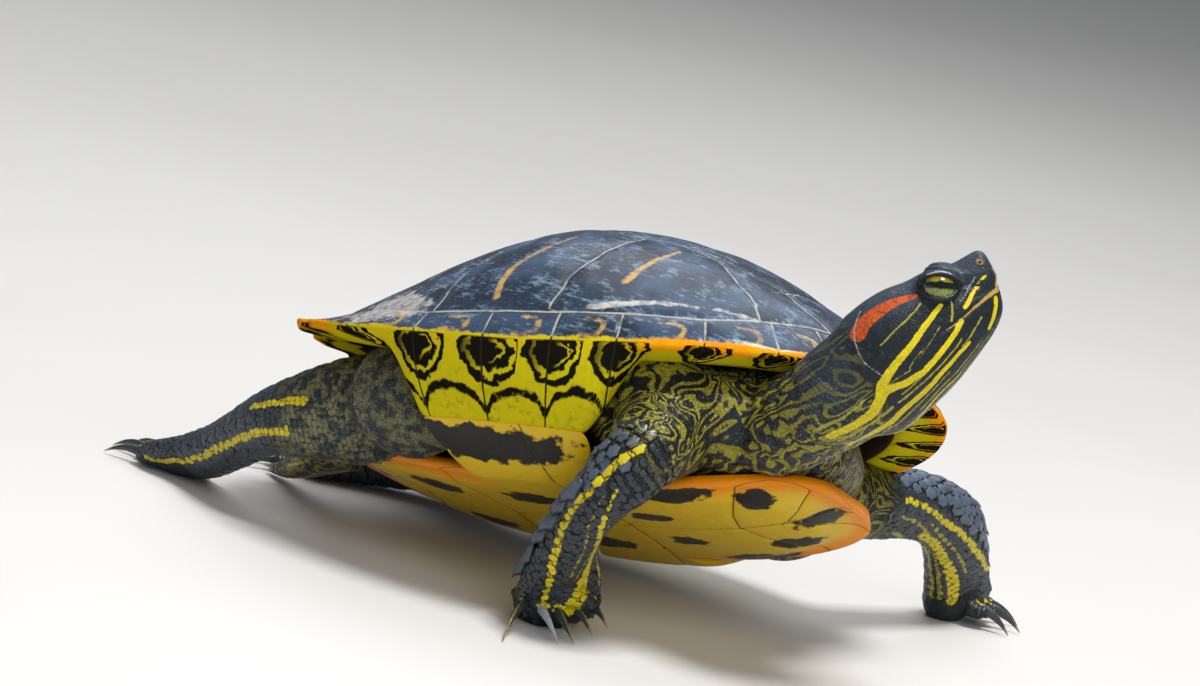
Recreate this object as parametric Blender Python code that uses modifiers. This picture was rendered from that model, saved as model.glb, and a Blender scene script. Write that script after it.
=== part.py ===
"""A basking red-eared slider turtle at life size, as a still museum model.

The shell is worked out in its own frame: x forward, y left, z up, with the origin in the middle of the
shell at the height of its side rims. The shell frame is then tipped, because the turtle props itself up on
its right foreleg. The flesh is lofted in the world frame, whose floor is z = 0, made into one form,
hollowed for the shell, eyes and claws, and then parted by thin cuts into head, neck, trunk, tail and legs.
"""

import math

import bmesh
import bpy
from mathutils import Euler, Matrix, Vector

MM = 0.001

# Shell, in millimetres.
SHELL_FRONT_LENGTH = 96.5
SHELL_REAR_LENGTH = 102.0
SHELL_HALF_WIDTH = 75.0
DOME_HEIGHT = 51.5
FRONT_RIM_RISE = 13.0
REAR_RIM_RISE = 13.0
SHELL_THICKNESS = 4.0
RIM_EDGE = 2.2
LOBE_FRONT_LENGTH = 81.0
LOBE_REAR_LENGTH = 87.0
LOBE_HALF_WIDTH = 37.0
PLASTRON_DROP = 33.5
SEAM_DROP = 22.0
BRIDGE_SHARE = 0.84
BRIDGE_FRONT = math.radians(70)
BRIDGE_REAR = math.radians(111)
TURN_STEPS = 42
NOTCH_SPACING = math.radians(19.5)

# Pose of the shell over the floor.
SHELL_HEIGHT = 54.5
SHELL_YAW = 3.5
SHELL_PITCH_UP = 11.0
SHELL_LEFT_DOWN = 21.0

# Pose of the head: the tip of its snout and the way it faces.
SNOUT_TIP = (120.5, -14.6, 125.2)
HEAD_YAW = 30.0
HEAD_PITCH_UP = 40.6
HEAD_LEFT_DOWN = 6.3

# Flesh.
GAP = 0.3
SOLE_LEVEL = 0.0
FLESH_VOXEL = 1.7
FLESH_TRIANGLES = 2550
EYE_RADIUS = 4.9
EYE_PLACE = (-13.8, 7.6, 8.7)
MOUTH_CORNER = (-20.5, -2.2)
CLAW_SIDES = 5


def smooth(value, low, high):
    """A smooth rise from 0 at low to 1 at high."""
    share = min(1.0, max(0.0, (value - low) / (high - low)))
    return share * share * (3 - 2 * share)


def mixed(first, second, share):
    return first + (second - first) * share


def signed_power(value, power):
    return math.copysign(abs(value) ** power, value)


def clear_scene():
    for obj in list(bpy.data.objects):
        bpy.data.objects.remove(obj, do_unlink=True)


def new_collection(name):
    collection = bpy.data.collections.new(name)
    bpy.context.scene.collection.children.link(collection)
    return collection


def material(name, colour, roughness):
    made = bpy.data.materials.new(name)
    made.use_nodes = True
    shader = made.node_tree.nodes["Principled BSDF"]
    shader.inputs["Base Color"].default_value = (*colour, 1.0)
    shader.inputs["Roughness"].default_value = roughness
    shader.inputs["Metallic"].default_value = 0.0
    made.diffuse_color = (*colour, 1.0)
    return made


def object_from(name, bm, collection, finish=None):
    """A new object from a bmesh in millimetres, in triangles that face outwards."""
    bmesh.ops.triangulate(bm, faces=bm.faces)
    bmesh.ops.scale(bm, vec=(MM, MM, MM), verts=bm.verts)
    bmesh.ops.recalc_face_normals(bm, faces=bm.faces)
    if bm.calc_volume(signed=True) < 0:
        bmesh.ops.reverse_faces(bm, faces=bm.faces)
    mesh = bpy.data.meshes.new(name)
    bm.to_mesh(mesh)
    bm.free()
    mesh.shade_smooth()
    obj = bpy.data.objects.new(name, mesh)
    if finish:
        mesh.materials.append(finish)
    collection.objects.link(obj)
    return obj


def bridge_rings(bm, rings):
    """Quads between neighbouring rings of points; a ring of one point closes an end."""
    for ring, following in zip(rings, rings[1:]):
        count = max(len(ring), len(following))
        for i in range(count):
            j = (i + 1) % count
            corners = [ring[i % len(ring)], ring[j % len(ring)]]
            corners += [following[j % len(following)], following[i % len(following)]]
            bm.faces.new(list(dict.fromkeys(corners)))


def evaluated_copy(obj, name, collection):
    """The object with its modifiers applied, as a new object, and the old one removed."""
    graph = bpy.context.evaluated_depsgraph_get()
    graph.update()
    mesh = bpy.data.meshes.new_from_object(obj.evaluated_get(graph))
    matrix = obj.matrix_world.copy()
    bpy.data.objects.remove(obj, do_unlink=True)
    made = bpy.data.objects.new(name, mesh)
    made.matrix_world = matrix
    collection.objects.link(made)
    return made


def turned(yaw, pitch_up, left_down):
    """A rotation from degrees of heading, of nose up and of left side down."""
    turns = (-math.radians(left_down), -math.radians(pitch_up), math.radians(yaw))
    return Euler(turns, "XYZ").to_matrix().to_4x4()


SHELL_FRAME = Matrix.Translation((0, 0, SHELL_HEIGHT)) @ turned(SHELL_YAW, SHELL_PITCH_UP, SHELL_LEFT_DOWN)
HEAD_FRAME = Matrix.Translation(SNOUT_TIP) @ turned(HEAD_YAW, HEAD_PITCH_UP, HEAD_LEFT_DOWN)


def in_shell(x, y, z):
    return SHELL_FRAME @ Vector((x, y, z))


def in_head(x, y, z):
    return HEAD_FRAME @ Vector((x, y, z))


# The shell's own shape. Its angle runs from 0 at the front, over the left side, to 180 degrees at the rear.


def rear_notch(angle):
    """How far the rear edge is nicked between two neighbouring marginal shields, from 0 to 1."""
    from_rear = math.pi - abs(angle)
    wave = max(0.0, math.cos(math.pi * from_rear / NOTCH_SPACING)) ** 6
    return wave * smooth(from_rear, math.radians(62), 0.2)


def rim_point(angle):
    half_length = SHELL_FRONT_LENGTH if math.cos(angle) > 0 else SHELL_REAR_LENGTH
    x = half_length * signed_power(math.cos(angle), 0.92)
    y = SHELL_HALF_WIDTH * signed_power(math.sin(angle), 0.86) * (1 - 0.05 * math.cos(angle))
    if math.cos(angle) > 0:
        z = FRONT_RIM_RISE * math.cos(angle) ** 1.25
    else:
        z = REAR_RIM_RISE * (-math.cos(angle)) ** 3.0
    nick = 1 - 0.022 * rear_notch(angle)
    return Vector((x * nick, y * nick, z))


def dome_height(angle, share):
    """Height of the upper shell over the plane of the side rims, at a share of the way out to the rim."""
    along = math.cos(angle)
    fullness = mixed(0.74, 1.0 if along > 0 else 1.95, abs(along) ** 1.4)
    crown = DOME_HEIGHT * (1 - share**2.25) ** fullness
    return crown + rim_point(angle).z * share**3


def upper_point(angle, share):
    rim = rim_point(angle)
    return Vector((rim.x * share, rim.y * share, dome_height(angle, share)))


def on_bridge(angle):
    """1 where the upper and lower shell are joined at the side, 0 at the openings for head and limbs."""
    turn = abs(angle)
    margin = math.radians(5)
    return smooth(turn, BRIDGE_FRONT - margin, BRIDGE_FRONT + margin) * smooth(
        turn, BRIDGE_REAR + margin, BRIDGE_REAR - margin
    )


def seam_point(angle):
    rim = rim_point(angle)
    return Vector((rim.x * BRIDGE_SHARE, rim.y * BRIDGE_SHARE, -SEAM_DROP))


def lip_point(angle):
    """The inner end of the rim's underside: the seam on the bridge, a short lip elsewhere."""
    rim = rim_point(angle)
    free = Vector((rim.x * 0.87, rim.y * 0.87, rim.z - 3.5))
    return free.lerp(seam_point(angle), on_bridge(angle))


def lobe_length(x):
    return LOBE_FRONT_LENGTH if x > 0 else LOBE_REAR_LENGTH


def plastron_level(x):
    return -PLASTRON_DROP + 12.0 * (abs(x) / lobe_length(x)) ** 2.2


def plastron_edge(angle):
    """The outline of the lower shell: two lobes, and between them the bridges up to the seams."""
    along, across = abs(math.cos(angle)), abs(math.sin(angle))
    blunt = 3.4 if math.cos(angle) > 0 else 3.0
    along /= lobe_length(math.cos(angle))
    across_share = across / LOBE_HALF_WIDTH
    reach = (along**blunt + across_share**blunt) ** (-1 / blunt)
    x, y = reach * math.cos(angle), reach * math.sin(angle)
    lobe = Vector((x, y, plastron_level(x) + 1.5 * across))
    seam = seam_point(angle)
    inset = 1 - GAP / seam.xy.length
    seam = Vector((seam.x * inset, seam.y * inset, seam.z - GAP))
    return lobe.lerp(seam, on_bridge(angle))


def plastron_point(angle, share):
    """A point of the lower shell's outer face. On the bridge it keeps low, then turns up to the seam."""
    edge = plastron_edge(angle)
    x, y = edge.x * share, edge.y * share
    flat = mixed(-PLASTRON_DROP + 0.8, plastron_level(x), 0.5 + 0.5 * share)
    rise = max(0.0, (share - 0.66) / 0.34) ** 1.5 * on_bridge(angle)
    level = mixed(flat, edge.z, rise) if on_bridge(angle) else flat
    return Vector((x, y, mixed(level, edge.z, smooth(share, 0.8, 1.0) * (1 - on_bridge(angle)))))


def angles():
    return [2 * math.pi * i / TURN_STEPS - math.pi for i in range(TURN_STEPS)]


def ring_of(bm, points):
    return [bm.verts.new(point) for point in points]


def carapace_form():
    """Outer dome, rim, underside of the rim and inner dome, as one closed loft of rings."""
    bm = bmesh.new()
    outer = [0.0, 0.16, 0.34, 0.52, 0.68, 0.81, 0.92, 1.0]
    rings = [ring_of(bm, [upper_point(0, 0)])]
    rings += [ring_of(bm, [upper_point(a, share) for a in angles()]) for share in outer[1:]]
    edge = Vector((0, 0, RIM_EDGE))
    rings.append(ring_of(bm, [rim_point(a) * 0.995 - edge for a in angles()]))
    for share in (0.5, 1.0):
        rings.append(ring_of(bm, [(rim_point(a) - edge).lerp(lip_point(a), share) for a in angles()]))
    inner = []
    for a in angles():
        end = lip_point(a)
        inward = end * (1 - SHELL_THICKNESS / end.xy.length)
        inner.append(Vector((inward.x, inward.y, end.z)))
    rings.append(ring_of(bm, inner))
    for share in (0.86, 0.76, 0.56, 0.28):
        points = []
        for a, end in zip(angles(), inner):
            over = upper_point(a, share * 0.9 + 0.02)
            over.z -= SHELL_THICKNESS * 1.2
            reach = min(1.0, end.xy.length / over.xy.length * 0.98)
            points.append(Vector((over.x * reach, over.y * reach, over.z)))
        rings.append(ring_of(bm, points))
    rings.append(ring_of(bm, [Vector((0, 0, DOME_HEIGHT - SHELL_THICKNESS))]))
    bridge_rings(bm, rings)
    return bm


def plastron_form():
    """The lower shell as a closed plate: its outer face, its edge and its inner face."""
    bm = bmesh.new()
    shares = [0.0, 0.3, 0.55, 0.7, 0.8, 0.9, 1.0]
    rings = [ring_of(bm, [plastron_point(0, 0)])]
    rings += [ring_of(bm, [plastron_point(a, share) for a in angles()]) for share in shares[1:]]
    for share in (0.94, 0.8, 0.5):
        points = []
        for a in angles():
            point = plastron_point(a, share)
            edge_share = (share - 0.3) / 0.64
            point.z += mixed(5.0, 4.0, edge_share)
            if on_bridge(a) > 0.5:
                point.z = min(point.z + 3.0 * edge_share, plastron_edge(a).z)
            points.append(point)
        rings.append(ring_of(bm, points))
    rings.append(ring_of(bm, [plastron_point(0, 0) + Vector((0, 0, 5.0))]))
    bridge_rings(bm, rings)
    return bm


# Flesh: lofts along a line of stations. A station is a centre, a half width and a half height.


def loft(bm, stations, sides=16, squareness=2.0, up=Vector((0, 0, 1)), facing_way=None):
    """A closed tube through the stations, with superellipse sections square to the line or to one way."""
    centres = [Vector(station[0]) for station in stations]
    rings = [[bm.verts.new(centres[0])]]
    for i, (centre, (_, across, high)) in enumerate(zip(centres, stations)):
        ahead = facing_way or centres[min(i + 1, len(centres) - 1)] - centres[max(i - 1, 0)]
        ahead = ahead.copy()
        ahead.normalize()
        side = up.cross(ahead).normalized()
        over = ahead.cross(side)
        ring = []
        for k in range(sides):
            turn = 2 * math.pi * k / sides
            y = across * signed_power(math.cos(turn), 2 / squareness)
            z = high * signed_power(math.sin(turn), 2 / squareness)
            ring.append(bm.verts.new(centre + side * y + over * z))
        rings.append(ring)
    rings.append([bm.verts.new(centres[-1])])
    bridge_rings(bm, rings)


def smooth_stations(stations, steps=3):
    """Stations along a Catmull-Rom curve through the given ones."""
    made = []
    values = [(*centre, across, high) for centre, across, high in stations]
    for i in range(len(values) - 1):
        near = values[max(i - 1, 0)], values[i], values[i + 1], values[min(i + 2, len(values) - 1)]
        for step in range(steps):
            t = step / steps
            made.append([curve_value(*column, t) for column in zip(*near)])
    made.append(list(values[-1]))
    return [((v[0], v[1], v[2]), v[3], v[4]) for v in made]


def curve_value(before, start, end, after, t):
    slope_in, slope_out = (end - before) / 2, (after - start) / 2
    a = 2 * start - 2 * end + slope_in + slope_out
    b = -3 * start + 3 * end - 2 * slope_in - slope_out
    return ((a * t + b) * t + slope_in) * t + start


# Head sections: distance behind the snout, crown, throat, half width.
HEAD_SECTIONS = [
    (0.0, 10.8, 0.5, 2.6),
    (1.2, 12.6, -4.2, 4.6),
    (4.0, 12.7, -7.6, 6.4),
    (8.0, 12.6, -10.4, 8.4),
    (12.0, 13.6, -12.4, 10.0),
    (16.5, 14.2, -14.6, 11.6),
    (22.0, 14.2, -17.0, 13.2),
    (28.0, 15.0, -19.0, 14.8),
    (34.0, 14.8, -20.6, 15.6),
    (40.0, 13.8, -22.0, 15.2),
    (46.0, 13.0, -23.4, 15.0),
]
NECK_STATIONS = [
    ((91.5, -33.0, 93.0), 15.5, 16.5),
    ((89.5, -33.0, 87.5), 15.5, 15.5),
    ((84.0, -31.5, 82.0), 16.0, 14.5),
    ((75.0, -27.0, 76.0), 17.5, 14.0),
    ((63.0, -19.0, 70.0), 19.0, 15.0),
    ((48.0, -9.0, 64.0), 20.0, 17.0),
]
LEGS = {
    "front_right": {
        "upper": [
            ((40.0, -34.0, 66.0), 16.0, 15.0),
            ((45.0, -50.0, 64.0), 13.5, 13.5),
            ((46.0, -60.0, 58.0), 10.5, 11.0),
            ((42.0, -63.5, 50.5), 8.8, 10.2),
        ],
        "lower": [
            ((35.5, -62.0, 41.5), 8.0, 10.4),
            ((28.5, -57.5, 31.0), 7.6, 11.6),
            ((23.0, -52.0, 20.5), 7.4, 12.8),
            ((21.0, -47.5, 11.5), 7.0, 13.2),
        ],
        "foot": [
            ((21.0, -47.0, 6.5), 7.6, 13.4),
            ((24.0, -49.5, 3.4), 4.0, 11.4),
        ],
    },
    "front_left": {
        "upper": [
            ((44.0, 30.0, 44.0), 15.0, 15.0),
            ((52.0, 50.0, 42.0), 13.0, 13.0),
            ((57.0, 68.0, 40.5), 10.5, 11.0),
            ((61.0, 84.0, 38.5), 8.8, 10.2),
        ],
        "lower": [
            ((63.0, 97.0, 33.0), 8.0, 10.4),
            ((61.5, 107.0, 24.0), 7.6, 10.8),
            ((59.5, 115.0, 15.0), 7.2, 11.4),
        ],
        "foot": [
            ((58.5, 120.0, 8.0), 7.4, 11.6),
            ((59.5, 124.5, 3.6), 4.2, 10.8),
        ],
    },
    "hind_right": {
        "upper": [
            ((-44.0, -30.0, 45.0), 18.0, 17.0),
            ((-62.0, -43.0, 40.0), 15.0, 16.0),
            ((-79.0, -49.0, 33.5), 10.5, 12.0),
        ],
        "lower": [
            ((-90.0, -47.5, 28.0), 9.0, 9.4),
            ((-101.0, -43.0, 20.5), 8.2, 8.2),
            ((-112.0, -38.0, 13.5), 8.0, 7.4),
        ],
        "foot": [
            ((-121.0, -34.5, 8.8), 9.0, 6.2),
            ((-130.0, -31.5, 5.0), 10.8, 4.8),
            ((-138.0, -28.5, 3.2), 9.5, 3.4),
        ],
    },
    "hind_left": {
        "upper": [
            ((-42.0, 26.0, 28.0), 17.0, 14.0),
            ((-60.0, 40.0, 20.0), 13.0, 12.0),
            ((-75.0, 45.0, 14.0), 10.5, 11.0),
        ],
        "lower": [
            ((-87.0, 43.0, 12.0), 9.0, 9.6),
            ((-99.0, 37.0, 10.0), 8.4, 8.8),
        ],
        "foot": [
            ((-109.0, 31.0, 7.0), 9.4, 6.6),
            ((-118.0, 25.5, 4.4), 11.0, 4.6),
            ((-126.0, 20.5, 3.0), 9.5, 3.2),
        ],
    },
}
TAIL_STATIONS = [
    ((-66.0, -8.0, 30.0), 13.0, 12.0),
    ((-82.0, -9.0, 24.0), 9.6, 9.6),
    ((-95.0, -6.0, 16.0), 6.8, 6.8),
    ((-106.0, -1.0, 9.0), 4.6, 4.6),
    ((-116.0, 4.0, 4.0), 2.6, 2.8),
    ((-123.0, 6.0, 2.2), 1.3, 1.6),
]
# Toes: root, middle joint and tip of the flesh, then the claw's tip.
TOES = {
    "front_right": [
        ((19.5, -51.0, 6.0), (17.5, -56.5, 5.6), (17.5, -60.5, 5.0), (27.5, -80.5, 0.5)),
        ((21.0, -51.0, 5.5), (22.0, -56.0, 5.4), (23.5, -59.0, 4.6), (35.0, -63.5, 0.5)),
        ((24.0, -49.0, 5.5), (25.5, -53.5, 5.4), (27.0, -55.5, 4.6), (37.0, -58.5, 0.5)),
        ((26.5, -45.0, 5.5), (28.5, -48.0, 5.8), (30.0, -49.5, 6.2), (37.0, -50.0, 2.5)),
        ((27.0, -40.0, 6.0), (29.5, -42.5, 7.0), (31.5, -43.5, 8.0), (38.0, -44.5, 4.5)),
    ],
    "front_left": [
        ((65.0, 116.0, 6.0), (69.5, 118.5, 5.4), (72.0, 120.0, 4.2), (78.0, 121.5, 0.5)),
        ((64.0, 121.0, 5.5), (68.5, 124.5, 5.2), (71.0, 126.5, 4.2), (77.5, 130.0, 0.5)),
        ((61.5, 124.5, 5.5), (65.0, 129.0, 5.2), (67.0, 132.0, 4.2), (72.0, 138.0, 0.5)),
        ((58.0, 126.5, 5.5), (60.0, 132.0, 5.2), (61.0, 135.0, 4.2), (65.0, 143.5, 0.5)),
        ((54.0, 126.5, 5.5), (54.0, 132.0, 5.0), (54.0, 135.0, 4.2), (54.5, 143.0, 0.5)),
    ],
    "hind_right": [
        ((-135.0, -21.5, 4.0), (-141.5, -18.5, 3.6), (-144.5, -17.5, 3.2), (-153.0, -13.5, 0.8)),
        ((-137.0, -26.0, 4.0), (-145.0, -23.0, 3.6), (-148.5, -22.0, 3.2), (-158.5, -19.0, 0.8)),
        ((-137.0, -31.0, 4.0), (-145.0, -29.5, 3.6), (-148.5, -28.5, 3.2), (-159.0, -27.5, 0.8)),
        ((-134.5, -36.0, 4.0), (-141.5, -36.0, 3.6), (-145.0, -36.0, 3.2), (-154.5, -37.0, 0.8)),
    ],
    "hind_left": [
        ((-120.0, 29.0, 4.0), (-127.0, 28.0, 3.6), (-130.0, 27.0, 3.2), (-138.5, 25.5, 0.8)),
        ((-122.5, 25.0, 4.0), (-130.5, 21.5, 3.6), (-133.5, 20.0, 3.2), (-142.0, 17.0, 0.8)),
        ((-123.0, 20.5, 4.0), (-130.0, 15.5, 3.6), (-133.0, 13.5, 3.2), (-140.5, 9.0, 0.8)),
        ((-120.0, 16.5, 4.0), (-124.5, 11.0, 3.6), (-127.0, 8.5, 3.2), (-132.5, 3.5, 0.8)),
    ],
}
TOE_RADIUS = {"front": 2.9, "hind": 3.0}
CLAW_RADIUS = {"front": 1.55, "hind": 1.4}


def head_stations():
    made = []
    for behind, crown, throat, half_width in HEAD_SECTIONS:
        centre = in_head(-behind, 0, (crown + throat) / 2)
        made.append((tuple(centre), half_width, (crown - throat) / 2))
    return made


def blob(bm, centre, radii, frame=Matrix.Identity(4)):
    """An ellipsoid of flesh, with its radii along the axes of the given frame."""
    place = frame @ Matrix.Translation(centre) @ Matrix.Diagonal((*radii, 1.0))
    bmesh.ops.create_uvsphere(bm, u_segments=24, v_segments=16, radius=1.0, matrix=place)


def flesh_form(collection):
    """All the flesh as one smooth closed object, before the shell, eyes and claws are cut from it."""
    bm = bmesh.new()
    blob(bm, (-2, 0, 6), (76, 55, 33), SHELL_FRAME)
    blob(bm, (44, -8, -7), (35, 47, 19), SHELL_FRAME)
    blob(bm, (-50, 0, -8), (32, 48, 18), SHELL_FRAME)
    head_turn = HEAD_FRAME.to_3x3()
    crown_way, back_way = head_turn @ Vector((0, 0, 1)), head_turn @ Vector((-1, 0, 0))
    loft(bm, smooth_stations(head_stations()), 24, 2.25, crown_way, back_way)
    for side in (1, -1):
        x, y, z = EYE_PLACE
        blob(bm, (x, y * side, z), (6.6, 5.2, 5.4), HEAD_FRAME)
    loft(bm, smooth_stations(NECK_STATIONS), 24, 2.0, Vector((-1, 0, 0.6)))
    loft(bm, smooth_stations(TAIL_STATIONS), 14)
    for name, leg in LEGS.items():
        line = leg["upper"] + leg["lower"] + leg["foot"]
        loft(bm, smooth_stations(line), 18, 2.1, Vector((0.35, 0.2, 1)))
        radius = TOE_RADIUS[name.split("_")[0]]
        for root, middle, tip, _ in TOES[name]:
            toe = [(root, radius, radius), (middle, radius, radius), (tip, radius * 0.86, radius * 0.86)]
            loft(bm, smooth_stations(toe), 12)
    obj = object_from("flesh", bm, collection)
    remesh = obj.modifiers.new("one form", "REMESH")
    remesh.mode = "VOXEL"
    remesh.voxel_size = FLESH_VOXEL * MM
    relax = obj.modifiers.new("soft joins", "SMOOTH")
    relax.factor, relax.iterations = 0.5, 3
    return evaluated_copy(obj, "flesh", collection)


def reduce_flesh(flesh, collection):
    decimate = flesh.modifiers.new("fewer faces", "DECIMATE")
    flesh.data.calc_loop_triangles()
    decimate.ratio = FLESH_TRIANGLES / len(flesh.data.loop_triangles)
    return evaluated_copy(flesh, "flesh", collection)


def grown(obj, amount, collection):
    """A cutter that follows another object, a little larger all round."""
    graph = bpy.context.evaluated_depsgraph_get()
    graph.update()
    mesh = bpy.data.meshes.new_from_object(obj.evaluated_get(graph))
    mesh.transform(obj.matrix_world)
    cutter = bpy.data.objects.new(obj.name + "_clearance", mesh)
    collection.objects.link(cutter)
    swell = cutter.modifiers.new("clearance", "DISPLACE")
    swell.strength, swell.mid_level = amount * MM, 0.0
    return hidden(cutter)


def hidden(cutter):
    cutter.hide_render = True
    cutter.display_type = "WIRE"
    return cutter


def boolean(obj, cutter, operation="DIFFERENCE", solver="MANIFOLD"):
    """Adds a cut or a join. The exact solver fails on the dense flesh, so the closed meshes use this one."""
    cut = obj.modifiers.new(operation.lower(), "BOOLEAN")
    cut.operation, cut.object, cut.solver = operation, cutter, solver


def claw_form(base, tip, root_radius):
    """A tapered horn that droops to its tip."""
    base, tip = Vector(base), Vector(tip)
    length = (tip - base).length
    arch = Vector((0, 0, length * 0.12))
    stations = []
    for share in (0.0, 0.3, 0.6, 0.85, 1.0):
        centre = base.lerp(tip, share) + arch * math.sin(math.pi * share)
        radius = mixed(root_radius, 0.45, share**1.2)
        stations.append((tuple(centre), radius * 0.85, radius))
    bm = bmesh.new()
    loft(bm, stations, CLAW_SIDES)
    return bm


def slab(name, frame, low, high, collection):
    """A box cutter given by two opposite corners in a frame, in millimetres."""
    low, high = Vector(low), Vector(high)
    bm = bmesh.new()
    size = high - low
    place = frame @ Matrix.Translation((low + high) / 2) @ Matrix.Diagonal((*size, 1.0))
    bmesh.ops.create_cube(bm, size=1.0, matrix=place)
    return hidden(object_from(name, bm, collection))


def facing(point, ahead, up=(0, 0, 1)):
    """A frame at a point whose x axis looks along a direction."""
    x = Vector(ahead).normalized()
    y = Vector(up).cross(x).normalized()
    rotation = Matrix((x, y, x.cross(y))).transposed().to_4x4()
    return Matrix.Translation(point) @ rotation


def part_off(body, name, cutter, wider, finish, collection, cutters):
    """Takes the piece of flesh inside the cutter as a new object, and clears a thin cut round it."""
    piece = bpy.data.objects.new(name, body.data.copy())
    piece.data.materials.clear()
    piece.data.materials.append(finish)
    collection.objects.link(piece)
    boolean(piece, cutter, "INTERSECT")
    piece = evaluated_copy(piece, name, collection)
    boolean(body, wider)
    return piece, evaluated_copy(body, "flesh", cutters)


def cut_box(frame, low, high, name, cutters):
    """The box that holds a piece, and the same box a gap wider."""
    wide_low = [value - GAP for value in low]
    wide_high = [value + GAP for value in high]
    return slab(name, frame, low, high, cutters), slab(name + "_gap", frame, wide_low, wide_high, cutters)


def largest_body(obj):
    """Keeps the largest connected piece of a mesh and drops crumbs left by the cuts."""
    bm = bmesh.new()
    bm.from_mesh(obj.data)
    bmesh.ops.remove_doubles(bm, verts=bm.verts, dist=0.00002)
    left, groups = set(bm.verts), []
    while left:
        stack, group = [left.pop()], set()
        while stack:
            vert = stack.pop()
            group.add(vert)
            for edge in vert.link_edges:
                other = edge.other_vert(vert)
                if other in left:
                    left.remove(other)
                    stack.append(other)
        groups.append(group)
    groups.sort(key=lambda group: (len(group), min(v.index for v in group)))
    for group in groups[:-1]:
        bmesh.ops.delete(bm, geom=list(group), context="VERTS")
    bm.to_mesh(obj.data)
    bm.free()
    obj.data.shade_smooth()


def leg_cuts(name, leg):
    """Three frames across a leg: at the trunk, at the elbow or knee, and at the wrist or ankle."""
    upper, lower, foot = leg["upper"], leg["lower"], leg["foot"]
    places = []
    for before, after in ((upper[1], upper[2]), (upper[-1], lower[0]), (lower[-1], foot[0])):
        start, end = Vector(before[0]), Vector(after[0])
        places.append(facing((start + end) / 2, end - start))
    return places


def make_shell(collection, cutters, finishes):
    carapace = object_from("carapace", carapace_form(), collection, finishes["carapace"])
    plastron = object_from("plastron", plastron_form(), collection, finishes["plastron"])
    clearances = []
    for obj in (carapace, plastron):
        obj.data.transform(Matrix.Diagonal((1 / MM, 1 / MM, 1 / MM, 1)))
        obj.data.transform(Matrix.Scale(MM, 4) @ SHELL_FRAME)
        clearances += [grown(obj, GAP, cutters), grown(obj, GAP / 3, cutters)]
    return carapace, plastron, clearances


def eyeball(centre, radius):
    bm = bmesh.new()
    turn = Matrix.Translation(centre) @ HEAD_FRAME.to_3x3().to_4x4()
    bmesh.ops.create_uvsphere(bm, u_segments=12, v_segments=7, radius=radius, matrix=turn)
    return bm


def make_eyes(collection, cutters, finish):
    sockets = []
    for side, name in ((1, "eye_left"), (-1, "eye_right")):
        x, y, z = EYE_PLACE
        centre = in_head(x, y * side, z)
        object_from(name, eyeball(centre, EYE_RADIUS), collection, finish)
        socket = object_from(name + "_socket", eyeball(centre, EYE_RADIUS + GAP), cutters)
        sockets.append(hidden(socket))
    return sockets


def make_claws(collection, cutters, finish):
    sockets = []
    for name, toes in TOES.items():
        for number, (_, middle, tip, claw_tip) in enumerate(toes, 1):
            middle, tip = Vector(middle), Vector(tip)
            base = middle.lerp(tip, 0.6)
            radius = CLAW_RADIUS[name.split("_")[0]]
            object_from(f"claw_{name}_{number}", claw_form(base, claw_tip, radius), collection, finish)
            socket = claw_form(base - (tip - middle).normalized() * GAP, claw_tip, radius + GAP)
            sockets.append(hidden(object_from(f"claw_{name}_{number}_socket", socket, cutters)))
    return sockets


def part_flesh(flesh, collection, cutters, finish):
    """Parts the flesh from the tips inwards; what is left at the end is the trunk."""
    pieces = []

    def take(name, frame, low, high):
        nonlocal flesh
        inner, wider = cut_box(frame, low, high, name + "_cut", cutters)
        piece, flesh = part_off(flesh, name, inner, wider, finish, collection, cutters)
        pieces.append(piece)

    corner_x, corner_z = MOUTH_CORNER
    take("lower_jaw", HEAD_FRAME, (corner_x, -30, -40), (30, 30, corner_z))
    take("head", HEAD_FRAME, (-38, -40, -60), (40, 40, 40))
    neck_root = facing((76.0, -24.0, 64.5), (0.75, -0.35, 0.35))
    take("neck", neck_root, (0, -60, -60), (80, 60, 90))
    tail_root = facing((-84.0, -9.0, 22.0), (-0.85, 0.2, -0.45))
    take("tail", tail_root, (0, -16, -16), (60, 16, 16))
    for name, leg in LEGS.items():
        reach = 40 if name.startswith("front") else 36
        trunk_end, joint, ankle = leg_cuts(name, leg)
        take(f"{name}_foot", ankle, (0, -reach, -reach), (60, reach, reach))
        take(f"{name}_lower_leg", joint, (0, -24, -24), (60, 24, 24))
        take(f"{name}_upper_leg", trunk_end, (0, -22, -22), (40, 22, 22))
    flesh.name = "trunk"
    flesh.data.materials.clear()
    flesh.data.materials.append(finish)
    cutters.objects.unlink(flesh)
    collection.objects.link(flesh)
    return [*pieces, flesh]


def origin_under_middle(collection):
    """Moves everything so that the origin is on the floor under the middle of the whole box."""
    corners = [obj.matrix_world @ v.co for obj in collection.objects for v in obj.data.vertices]
    low = Vector([min(point[i] for point in corners) for i in range(3)])
    high = Vector([max(point[i] for point in corners) for i in range(3)])
    root = bpy.data.objects.new("turtle_root", None)
    collection.objects.link(root)
    for obj in collection.objects:
        if obj is not root:
            obj.parent = root
    root.location = (-(low.x + high.x) / 2, -(low.y + high.y) / 2, -low.z)


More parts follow.
